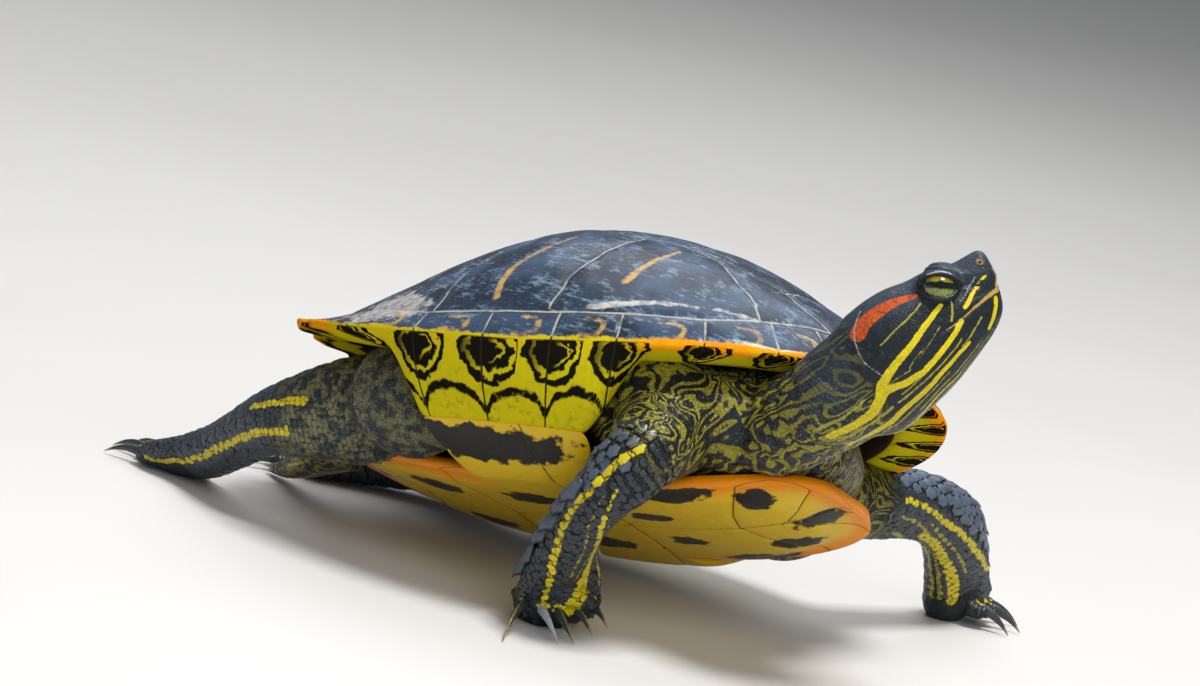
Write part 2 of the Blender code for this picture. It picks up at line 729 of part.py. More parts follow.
def main():
    clear_scene()
    turtle = new_collection("red_eared_slider")
    cutters = new_collection("cutters")
    finishes = {
        "carapace": material("carapace", (0.06, 0.08, 0.1), 0.35),
        "plastron": material("plastron", (0.75, 0.5, 0.05), 0.35),
        "skin": material("skin", (0.05, 0.055, 0.045), 0.45),
        "eye": material("eye", (0.25, 0.3, 0.08), 0.08),
        "claw": material("claw", (0.12, 0.11, 0.09), 0.35),
    }
    _, _, shell_clearances = make_shell(turtle, cutters, finishes)
    eye_sockets = make_eyes(turtle, cutters, finishes["eye"])
    claw_sockets = make_claws(turtle, cutters, finishes["claw"])
    flesh = reduce_flesh(flesh_form(cutters), cutters)
    floor = slab("floor", Matrix.Identity(4), (-300, -300, -100), (300, 300, SOLE_LEVEL), cutters)
    for cutter in [*shell_clearances, *eye_sockets, *claw_sockets, floor]:
        boolean(flesh, cutter)
    flesh = evaluated_copy(flesh, "flesh", cutters)
    for piece in part_flesh(flesh, turtle, cutters, finishes["skin"]):
        largest_body(piece)
    origin_under_middle(turtle)


main()
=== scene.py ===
import logging
import math
from collections.abc import Callable, Sequence
from dataclasses import dataclass, field
from enum import Enum

import bmesh
import bpy
import numpy as np
from mathutils import Euler, Matrix, Vector
from mathutils.bvhtree import BVHTree
from mathutils.kdtree import KDTree


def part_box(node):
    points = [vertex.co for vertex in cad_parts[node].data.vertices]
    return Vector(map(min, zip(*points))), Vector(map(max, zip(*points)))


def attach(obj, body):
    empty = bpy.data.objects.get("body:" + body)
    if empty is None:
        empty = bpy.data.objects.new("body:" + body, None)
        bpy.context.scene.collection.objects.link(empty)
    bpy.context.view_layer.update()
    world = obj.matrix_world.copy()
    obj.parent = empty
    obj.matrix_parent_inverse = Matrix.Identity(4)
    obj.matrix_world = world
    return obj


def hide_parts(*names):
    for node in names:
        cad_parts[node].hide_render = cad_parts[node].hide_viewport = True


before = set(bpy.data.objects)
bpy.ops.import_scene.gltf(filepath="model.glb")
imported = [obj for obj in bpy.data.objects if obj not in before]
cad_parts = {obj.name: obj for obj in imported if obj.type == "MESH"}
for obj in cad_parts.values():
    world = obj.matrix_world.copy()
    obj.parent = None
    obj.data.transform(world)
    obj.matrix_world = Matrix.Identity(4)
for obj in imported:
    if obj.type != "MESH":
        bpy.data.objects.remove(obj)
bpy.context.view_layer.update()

LOG = logging.getLogger("slider")
MM = 0.001
Points = np.ndarray
Colour = tuple[float, float, float]
Point = tuple[float, float, float]
Station = tuple[Point, float, float]


# Small mathematics.


def smooth(value: Points, low: float, high: float) -> Points:
    """A smooth rise from 0 at low to 1 at high; it falls where high is below low."""
    share = np.clip((np.asarray(value, float) - low) / (high - low), 0.0, 1.0)
    return share * share * (3 - 2 * share)


def mixed(first: Points, second: Points, share: Points) -> Points:
    """The value a share of the way from first to second."""
    return first + (second - first) * share


def signed_power(value: Points, power: float) -> Points:
    """The power of a value's size, with the value's sign."""
    return np.sign(value) * np.abs(value) ** power


def lengths(vectors: Points) -> Points:
    """The length of each row of vectors."""
    return np.sqrt((vectors * vectors).sum(-1))


def units(vectors: Points) -> Points:
    """Each row of vectors scaled to length 1."""
    return vectors / np.maximum(lengths(vectors), 1e-9)[..., None]


def value_noise(points: Points, size: float, seed: int = 0) -> Points:
    """Smooth random values over space.

    Args:
        points: Places, one a row.
        size: The distance over which the values change.
        seed: Picks one of many unlike fields.

    Returns:
        A value from -1 to 1 for each place.
    """
    scaled = points / size + seed * 17.31
    cell = np.floor(scaled).astype(np.int64)
    part = scaled - cell
    part = part * part * (3 - 2 * part)
    total = np.zeros(len(points))
    for corner in range(8):
        step = np.array([corner >> 2 & 1, corner >> 1 & 1, corner & 1])
        key = ((cell + step) * np.array([73856093, 19349663, 83492791])).sum(1) + seed * 7919
        key = (key ^ (key >> 13)) * 1274126177 & 0x7FFFFFFF
        value = (key ^ (key >> 16)) % 65536 / 32768.0 - 1
        total += value * np.prod(np.where(step == 1, part, 1 - part), axis=1)
    return total


def layered_noise(points: Points, size: float, seed: int = 0) -> Points:
    """Three octaves of value noise.

    Args:
        points: Places, one a row.
        size: The distance over which the coarsest octave changes.
        seed: Picks one of many unlike fields.

    Returns:
        A value from about -1 to 1 for each place.
    """
    total = value_noise(points, size, seed)
    total += 0.5 * value_noise(points, size / 2.1, seed + 1)
    return (total + 0.25 * value_noise(points, size / 4.3, seed + 2)) / 1.4


def curve_value(before: Points, start: Points, end: Points, after: Points, t: float) -> Points:
    """A value on a Catmull-Rom curve.

    Args:
        before: The value before the start.
        start: The value at t = 0.
        end: The value at t = 1.
        after: The value after the end.
        t: How far along, from 0 to 1.

    Returns:
        The value at t.
    """
    slope_in, slope_out = (end - before) / 2, (after - start) / 2
    a = 2 * start - 2 * end + slope_in + slope_out
    b = -3 * start + 3 * end - 2 * slope_in - slope_out
    return ((a * t + b) * t + slope_in) * t + start


def smooth_rows(rows: Points, steps: int) -> Points:
    """Runs a Catmull-Rom curve through rows of values.

    Args:
        rows: The rows that it runs through.
        steps: How many rows to make for each given one.

    Returns:
        The finer rows.
    """
    rows = np.asarray(rows, float)
    made = []
    for i in range(len(rows) - 1):
        near = rows[max(i - 1, 0)], rows[i], rows[i + 1], rows[min(i + 2, len(rows) - 1)]
        made += [curve_value(*near, step / steps) for step in range(steps)]
    return np.array([*made, rows[-1]])


@dataclass(frozen=True)
class Placing:
    """Where a part's own axes lie in the model, in millimetres."""

    place: Point
    yaw: float
    pitch_up: float
    left_down: float

    @property
    def matrix(self) -> Matrix:
        """The placing as a 4 by 4 matrix."""
        turns = (-math.radians(self.left_down), -math.radians(self.pitch_up), math.radians(self.yaw))
        return Matrix.Translation(self.place) @ Euler(turns, "XYZ").to_matrix().to_4x4()

    @property
    def axes(self) -> Points:
        """The turn alone, as a 3 by 3 array whose columns are the axes."""
        return np.array(self.matrix.to_3x3())

    def out(self, points: Points) -> Points:
        """Points in the part's own axes, brought into the model."""
        return np.asarray(points, float) @ self.axes.T + np.array(self.place)

    def into(self, points: Points) -> Points:
        """Points of the model, brought into the part's own axes."""
        return (np.asarray(points, float) - np.array(self.place)) @ self.axes


SHELL_PLACE = Placing((0.0, 0.0, 54.5), 3.5, 11.0, 21.0)
HEAD_PLACE = Placing((120.5, -14.6, 125.2), 30.0, 40.6, 6.3)
EYE_PLACE = np.array([-13.8, 7.6, 8.7])
NOSTRIL = np.array([-1.4, 3.0, 8.9])
HEAD_END, NECK_START = -40.0, -46.0  # places along the head's own axis, from the snout


def model_origin() -> Points:
    """Reads from the eyes' places where the model's own origin lies.

    Returns:
        The origin in the frame, in millimetres.
    """
    eyes = np.array([np.mean(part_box(name), axis=0) for name in ("eye_left", "eye_right")])
    middle = HEAD_PLACE.out(EYE_PLACE * np.array([1.0, 0.0, 1.0]))
    origin = eyes.mean(0) / MM - middle
    return np.array([origin[0], origin[1], 0.0])


ORIGIN = model_origin()


# Meshes.


@dataclass
class Shape:
    """A surface in millimetres, with values at its points for the finish to read."""

    points: Points
    faces: list[Sequence[int]]
    values: dict[str, Points] = field(default_factory=dict)
    uv: Points | None = None

    def build(self, name: str, finish: bpy.types.Material, *replaced: str) -> None:
        """Makes the piece in the frame, riding on the root body.

        Args:
            name: The piece's name.
            finish: Its material.
            replaced: The solids of the frame that it stands for.
        """
        mesh = bpy.data.meshes.new(name)
        mesh.from_pydata(((self.points + ORIGIN) * MM).tolist(), [], [list(f) for f in self.faces])
        for title, values in self.values.items():
            layer = mesh.attributes.new(title, "FLOAT", "POINT")
            layer.data.foreach_set("value", np.ascontiguousarray(values, dtype=np.float32))
        if self.uv is not None:
            corners = np.empty(len(mesh.loops), dtype=np.int32)
            mesh.loops.foreach_get("vertex_index", corners)
            layer = mesh.uv_layers.new(name="OFBake")
            layer.data.foreach_set("uv", np.ascontiguousarray(self.uv[corners], dtype=np.float32).ravel())
        self.turn_outwards(mesh)
        mesh.shade_smooth()
        mesh.materials.append(finish)
        piece = bpy.data.objects.new(name, mesh)
        bpy.context.scene.collection.objects.link(piece)
        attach(piece, "root")
        if replaced:
            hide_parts(*replaced)
        LOG.info("%s: %d faces", name, len(mesh.polygons))

    def turn_outwards(self, mesh: bpy.types.Mesh) -> None:
        """Turns every face over where the surface is inside out.

        Args:
            mesh: The piece's mesh.
        """
        count = len(mesh.polygons)
        ways, middles = np.empty(count * 3, np.float32), np.empty(count * 3, np.float32)
        areas = np.empty(count, np.float32)
        mesh.polygons.foreach_get("normal", ways)
        mesh.polygons.foreach_get("center", middles)
        mesh.polygons.foreach_get("area", areas)
        middles = middles.reshape(-1, 3) - middles.reshape(-1, 3).mean(0)
        if float(((ways.reshape(-1, 3) * middles).sum(1) * areas).sum()) < 0:
            mesh.flip_normals()


def tube_faces(rows: int, columns: int) -> list[Sequence[int]]:
    """Faces of a closed tube.

    Args:
        rows: How many rings of points it has.
        columns: How many points each ring has.

    Returns:
        The quads between the rings, and a cap at each end.
    """
    start = np.arange(rows - 1)[:, None] * columns
    turn = np.arange(columns)[None, :]
    first, after = start + turn, start + (turn + 1) % columns
    quads = np.stack([first, after, after + columns, first + columns], -1).reshape(-1, 4).tolist()
    last = (rows - 1) * columns
    return [*map(tuple, quads), tuple(range(columns))[::-1], tuple(range(last, last + columns))]


def joined(shapes: Sequence[Shape]) -> Shape:
    """Several surfaces as one.

    Args:
        shapes: The surfaces, all of which carry the same values.

    Returns:
        The one surface.
    """
    faces: list[Sequence[int]] = []
    start = 0
    for shape in shapes:
        faces += [tuple(i + start for i in f) for f in shape.faces]
        start += len(shape.points)
    values = {key: np.concatenate([s.values[key] for s in shapes]) for key in shapes[0].values}
    uv = None if shapes[0].uv is None else np.concatenate([s.uv for s in shapes])
    return Shape(np.concatenate([s.points for s in shapes]), faces, values, uv)


@dataclass(frozen=True)
class Line:
    """A mark along a smooth line: points in millimetres, and its half width at the start and the end."""

    points: tuple[Point, ...]
    start: float = 0.8
    end: float = 0.8

    def laid_on(self, surface: KDTree | None) -> Points:
        """Makes the line fine, and lays it on a surface.

        Args:
            surface: The points of that surface, if any.

        Returns:
            The line's finer points.
        """
        rows = smooth_rows(np.array(self.points), 5)
        if surface is not None:
            rows = np.array([surface.find(row)[0][:] for row in rows])
            rows[1:-1] = (rows[:-2] + 2 * rows[1:-1] + rows[2:]) / 4
        return rows

    def distance(self, places: Points, surface: KDTree | None = None) -> Points:
        """How far places lie outside the mark.

        Args:
            places: Places, one a row.
            surface: The points of the surface that marks are laid on, if any.

        Returns:
            Millimetres outside the mark, negative inside.
        """
        rows = self.laid_on(surface)
        best = np.full(len(places), 1e3)
        for i, (a, b) in enumerate(zip(rows, rows[1:])):
            along = b - a
            t = np.clip((places - a) @ along / max(along @ along, 1e-9), 0.0, 1.0)
            away = lengths(places - a - t[:, None] * along)
            width = mixed(self.start, self.end, (i + t) / (len(rows) - 1))
            best = np.minimum(best, away - width)
        return best


def tree_of(places: Points) -> KDTree:
    """A search tree of places.

    Args:
        places: Places, one a row.

    Returns:
        The tree, ready to be asked for the nearest place.
    """
    tree = KDTree(len(places))
    for i, place in enumerate(places.tolist()):
        tree.insert(place, i)
    tree.balance()
    return tree


def nearest_line(lines: Sequence[Line], places: Points, surface: KDTree | None = None) -> Points:
    """How far places lie outside the nearest of several marks.

    Args:
        lines: The marks.
        places: Places, one a row.
        surface: The points of the surface that marks are laid on, if any.

    Returns:
        Millimetres outside the nearest mark, negative inside, and 30 far away.
    """
    best = np.full(len(places), 30.0)
    for line in lines:
        low = np.min(line.points, axis=0) - 8.0
        high = np.max(line.points, axis=0) + 8.0
        near = np.all((places > low) & (places < high), axis=1)
        best[near] = np.minimum(best[near], line.distance(places[near], surface))
    return best


# The shell's own shape. Its angle runs from 0 at the front, over the left side, to 180 degrees at the rear,
# and its share from 0 at the middle to 1 at the rim.


@dataclass(frozen=True)
class ShellShape:
    """The sizes and surfaces that both halves of the shell share, in millimetres and in the shell's axes."""

    front: float = 96.5
    rear: float = 102.0
    half_width: float = 75.0
    dome: float = 51.5
    front_rise: float = 13.0
    rear_rise: float = 13.0
    wall: float = 4.0
    edge: float = 2.2
    lobe_front: float = 81.0
    lobe_rear: float = 87.0
    lobe_half_width: float = 37.0
    plastron_drop: float = 33.5
    seam_drop: float = 22.0
    seam_share: float = 0.84
    bridge_front: float = math.radians(70)
    bridge_rear: float = math.radians(111)
    notch_spacing: float = math.radians(13)

    def notch(self, angle: Points) -> Points:
        """The nicks between the teeth of the rear edge.

        Args:
            angle: Each place's angle round the shell.

        Returns:
            How far the edge is nicked, from 0 to 1.
        """
        from_rear = math.pi - np.abs(angle)
        wave = np.abs(np.cos(math.pi * from_rear / self.notch_spacing)) ** 6
        return wave * smooth(from_rear, math.radians(62), 0.2)

    def rim(self, angle: Points, nicked: Points | float = 1.0) -> Points:
        """The outer edge of the upper shell.

        Args:
            angle: Each place's angle round the shell.
            nicked: How much of the nicks is there, from 0 to 1.

        Returns:
            Places on the edge.
        """
        along = np.cos(angle)
        x = np.where(along > 0, self.front, self.rear) * signed_power(along, 0.92)
        y = self.half_width * signed_power(np.sin(angle), 0.86) * (1 - 0.05 * along)
        z = self.front_rise * np.maximum(along, 0) ** 1.25 + self.rear_rise * np.maximum(-along, 0) ** 3.0
        nick = 1 - 0.036 * self.notch(angle) * nicked
        return np.stack([x * nick, y * nick, z], -1)

    def dome_height(self, angle: Points, share: Points) -> Points:
        """How high the upper shell is.

        Args:
            angle: Each place's angle round the shell.
            share: Each place's share of the way out.

        Returns:
            Millimetres over the plane of its side rims.
        """
        along = np.cos(angle)
        fullness = mixed(0.74, np.where(along > 0, 1.0, 1.95), np.abs(along) ** 1.4)
        crown = self.dome * np.maximum(1 - share**2.25, 0.0) ** fullness
        return crown + self.rim(angle)[..., 2] * share**3

    def upper(self, angle: Points, share: Points) -> Points:
        """Places on the outer face of the upper shell."""
        rim = self.rim(angle, smooth(share, 0.9, 1.0))
        return np.stack([rim[..., 0] * share, rim[..., 1] * share, self.dome_height(angle, share)], -1)

    def on_bridge(self, angle: Points) -> Points:
        """Where both halves of the shell are joined.

        Args:
            angle: Each place's angle round the shell.

        Returns:
            1 on the bridges, 0 at the openings for head and limbs.
        """
        turn, margin = np.abs(angle), math.radians(5)
        rise = smooth(turn, self.bridge_front - margin, self.bridge_front + margin)
        return rise * smooth(turn, self.bridge_rear + margin, self.bridge_rear - margin)

    def seam(self, angle: Points) -> Points:
        """The seam between both halves along the bridge.

        Args:
            angle: Each place's angle round the shell.

        Returns:
            Places on the seam.
        """
        rim = self.rim(angle) * self.seam_share
        rim[..., 2] = -self.seam_drop
        return rim

    def lip(self, angle: Points) -> Points:
        """The inner end of the rim's underside.

        Args:
            angle: Each place's angle round the shell.

        Returns:
            Places on it.
        """
        rim = self.rim(angle)
        free = np.stack([rim[..., 0] * 0.87, rim[..., 1] * 0.87, rim[..., 2] - 3.5], -1)
        return mixed(free, self.seam(angle), self.on_bridge(angle)[..., None])

    def lobe_length(self, x: Points) -> Points:
        """How far the lower shell's lobe reaches on this side of the middle."""
        return np.where(x > 0, self.lobe_front, self.lobe_rear)

    def plastron_level(self, x: Points) -> Points:
        """Height of the lower shell's outer face along its middle."""
        return -self.plastron_drop + 12.0 * (np.abs(x) / self.lobe_length(x)) ** 2.2

    def plastron_edge(self, angle: Points) -> Points:
        """The outline of the lower shell: two lobes, and between them the bridges up to the seams.

        Args:
            angle: Each place's angle round the shell.

        Returns:
            Places on the outline.
        """
        cosine, across = np.cos(angle), np.abs(np.sin(angle))
        blunt = np.where(cosine > 0, 3.4, 3.0)
        along = np.abs(cosine) / self.lobe_length(cosine)
        reach = (along**blunt + (across / self.lobe_half_width) ** blunt) ** (-1 / blunt)
        x, y = reach * cosine, reach * np.sin(angle)
        lobe = np.stack([x, y, self.plastron_level(x) + 1.5 * across], -1)
        return mixed(lobe, self.seam(angle), self.on_bridge(angle)[..., None])

    def plastron(self, angle: Points, share: Points) -> Points:
        """The outer face of the lower shell. On the bridge it keeps low, then turns up.

        Args:
            angle: Each place's angle round the shell.
            share: Each place's share of the way out.

        Returns:
            Places on the face.
        """
        edge, bridge = self.plastron_edge(angle), self.on_bridge(angle)
        x, y = edge[..., 0] * share, edge[..., 1] * share
        flat = mixed(-self.plastron_drop + 0.8, self.plastron_level(x), 0.5 + 0.5 * share)
        rise = np.maximum(0.0, (share - 0.66) / 0.34) ** 1.5 * bridge
        level = mixed(flat, edge[..., 2], rise)
        z = mixed(level, edge[..., 2], smooth(share, 0.8, 1.0) * (1 - bridge))
        return np.stack([x, y, z], -1)

    def polar(self, places: Points) -> tuple[Points, Points]:
        """Turns places into the shell's own angle and share.

        Args:
            places: Places in the shell's axes.

        Returns:
            The angle, and the share of the way out to the rim.
        """
        turns = np.linspace(-math.pi, math.pi, 1441)
        rim = self.rim(turns)
        seen = np.maximum.accumulate(np.arctan2(rim[:, 1], rim[:, 0] + 1e-9))
        seen[0], seen[-1] = -math.pi, math.pi
        angle = np.interp(np.arctan2(places[:, 1], places[:, 0]), seen, turns)
        share = lengths(places[:, :2]) / np.maximum(lengths(self.rim(angle)[:, :2]), 1e-6)
        return angle, share


SHELL = ShellShape()


def lengths_along(rows: Points) -> Points:
    """How far along a line each of its rows lies; a row starts with the three coordinates of its place."""
    return np.concatenate([[0.0], np.cumsum(lengths(np.diff(rows[:, :3], axis=0)))])


def surface_distance(value: Points, places: Points, closed: bool = True) -> Points:
    """Turns a smooth field on a grid into millimetres from its zero line.

    Args:
        value: The field, rows by columns.
        places: The grid's points, rows by columns by 3.
        closed: True where the columns close into a ring.

    Returns:
        The field divided by how fast it changes along the surface.
    """
    if closed:
        wide_value, wide_places = (np.concatenate([a[:, -1:], a, a[:, :1]], 1) for a in (value, places))
        across_value = np.gradient(wide_value, axis=1)[:, 1:-1]
        across = np.gradient(wide_places, axis=1)[:, 1:-1]
    else:
        across_value, across = np.gradient(value, axis=1), np.gradient(places, axis=1)
    out_value, out = np.gradient(value, axis=0), np.gradient(places, axis=0)
    e, f, g = (across * across).sum(-1), (across * out).sum(-1), (out * out).sum(-1)
    area = np.maximum(e * g - f * f, 1e-9)
    slope = (g * across_value**2 - 2 * f * across_value * out_value + e * out_value**2) / area
    return value / np.sqrt(np.maximum(slope, 1e-6))


def sawtooth(value: Points, seams: Sequence[float] | Points) -> Points:
    """A field through zero at each seam, its sign changing from one shield to the next.

    Args:
        value: Where each place lies along the row of shields.
        seams: The seams' places along it: a list, or one row of places for each seam.

    Returns:
        The signed distance to the nearest seam, in the units of value.
    """
    away = np.stack([value - seam for seam in seams], -1)
    nearest = np.abs(away).argmin(-1)
    sign = np.where(nearest % 2 == 0, 1.0, -1.0)
    return sign * np.take_along_axis(away, nearest[..., None], -1)[..., 0]


@dataclass(frozen=True)
class ShieldPlan:
    """Where the seams between the horn shields of the upper shell run, in the shell's axes."""

    # Half width of the row along the back, from the rear to the front, as (x, half width).
    back_row: tuple[tuple[float, float], ...] = (
        (-92, 24), (-72, 29), (-44, 25), (-21, 33), (-3, 30), (15, 34), (27, 31), (39, 32), (58, 27),
        (84, 30),
    )
    back_seams: tuple[float, ...] = (-44, -3, 27, 60)
    # Each side seam as (distance from the midline, x), from the back row out to the rim.
    side_seams: tuple[tuple[tuple[float, float], ...], ...] = (
        ((33, -21), (46, -22), (58, -27), (70, -26)),
        ((34, 15), (48, 13), (63, 11), (72, 11)),
        ((32, 39), (39, 50), (43, 60), (47, 65), (60, 84)),
    )
    # The inner edge of the marginal shields, as (degrees from the front, share).
    marginal_edge: tuple[tuple[float, float], ...] = (
        (0, 0.865), (29, 0.88), (45, 0.91), (56, 0.94), (71, 0.95), (92, 0.965), (105, 0.955),
        (122, 0.91), (141, 0.87), (160, 0.85), (180, 0.845),
    )
    marginal_seams: tuple[float, ...] = (4, 16, 29, 41, 55.5, 71, 82, 92.5, 105, 121.5, 141, 160.5, 180)

    def wander(self, places: Points) -> tuple[Points, Points]:
        """Shifts places a little, so that the seams run unevenly.

        Args:
            places: Places, one a row.

        Returns:
            Their x, and their distance from the midline.
        """
        flat = places.reshape(-1, 3)
        along, aside = (0.9 * layered_noise(flat, 8.0, seed).reshape(places.shape[:-1]) for seed in (31, 41))
        return places[..., 0] + along, np.abs(places[..., 1]) + aside

    def rows_field(self, angle: Points, share: Points, places: Points) -> tuple[Points, Points, Points]:
        """The fields of the seams that run lengthwise.

        Args:
            angle: Each place's angle.
            share: Each place's share of the way out.
            places: The places.

        Returns:
            Distances outside the back row and outside the inner edge of the marginals, and a single
            field that is above zero on the side shields only.
        """
        x, y = self.wander(places)
        back = surface_distance(y - np.interp(x, *np.array(self.back_row).T), places)
        edge = np.interp(np.degrees(np.abs(angle)), *np.array(self.marginal_edge).T)
        marginal = surface_distance(share - edge, places)
        return back, marginal, np.minimum(back, -marginal)

    def cross_field(self, angle: Points, places: Points, back: Points, marginal: Points) -> Points:
        """The fields of the seams that run across.

        Args:
            angle: Each place's angle round the shell.
            places: The places.
            back: Distances outside the back row.
            marginal: Distances outside the inner edge of the marginals.

        Returns:
            Distances to the seams, in each of the three rows of shields.
        """
        x, y = self.wander(places)
        on_back = surface_distance(sawtooth(x, self.back_seams), places)
        sides = [np.interp(y, *np.array(seam, float).T) for seam in self.side_seams]
        on_side = surface_distance(sawtooth(x, sides), places)
        turn = np.degrees(np.abs(angle))
        on_rim = surface_distance(sawtooth(turn, self.marginal_seams), places)
        return np.where(marginal > 0, on_rim, np.where(back > 0, on_side, on_back))


@dataclass(frozen=True)
class DiscGrid:
    """A square grid bent into a disc, so that its cells stay even out to the rim."""

    steps: int

    def polar(self) -> tuple[Points, Points]:
        """Bends the square into the disc.

        Returns:
            The angle and the share of the way out of each of the grid's points.
        """
        side = np.linspace(-1.0, 1.0, self.steps + 1)
        a, b = np.meshgrid(side, side, indexing="ij")
        wide = np.abs(a) > np.abs(b)
        safe_a, safe_b = np.where(a == 0, 1e-9, a), np.where(b == 0, 1e-9, b)
        reach = np.where(wide, a, b)
        turn = np.where(wide, math.pi / 4 * b / safe_a, math.pi / 2 - math.pi / 4 * a / safe_b)
        x, y = reach * np.cos(turn), reach * np.sin(turn)
        return np.arctan2(y, x), np.minimum(np.hypot(x, y), 1.0)

    def faces(self) -> list[tuple[int, int, int, int]]:
        """The grid's quads.

        Returns:
            The numbers of their corners.
        """
        n = self.steps + 1
        first = (np.arange(self.steps)[:, None] * n + np.arange(self.steps)[None, :]).ravel()
        return np.stack([first, first + n, first + n + 1, first + 1], -1).tolist()

    def border(self) -> Points:
        """The border of the grid.

        Returns:
            The numbers of its points, once round.
        """
        n = self.steps
        grid = np.arange((n + 1) ** 2).reshape(n + 1, n + 1)
        return np.concatenate([grid[:n, 0], grid[n, :n], grid[n:0:-1, n], grid[0, n:0:-1]])


def grid_normals(places: Points) -> Points:
    """The outward way at each point of a grid of rows and columns over the dome or the belly."""
    return units(np.cross(np.gradient(places, axis=0), np.gradient(places, axis=1)))


def closed_plate(
    grid: DiscGrid, outer: Points, rings: Sequence[Points]
) -> tuple[Points, list[Sequence[int]]]:
    """A plate from its outer face and the rings that carry on from the border to close it.

    Args:
        grid: The outer face's grid.
        outer: The outer face's points, in the grid's order.
        rings: Rings of points, each with as many as the border has.

    Returns:
        All the points, and all the faces.
    """
    border = grid.border()
    count = len(border)
    points = np.concatenate([outer, *rings])
    faces: list[Sequence[int]] = list(grid.faces())
    start = len(outer)
    labels = [border] + [start + i * count + np.arange(count) for i in range(len(rings))]
    for ring, following in zip(labels, labels[1:]):
        turned_ring, turned_following = np.roll(ring, -1), np.roll(following, -1)
        faces += np.stack([ring, turned_ring, turned_following, following], -1)[:, ::-1].tolist()
    faces.append(labels[-1].tolist())
    return points, faces


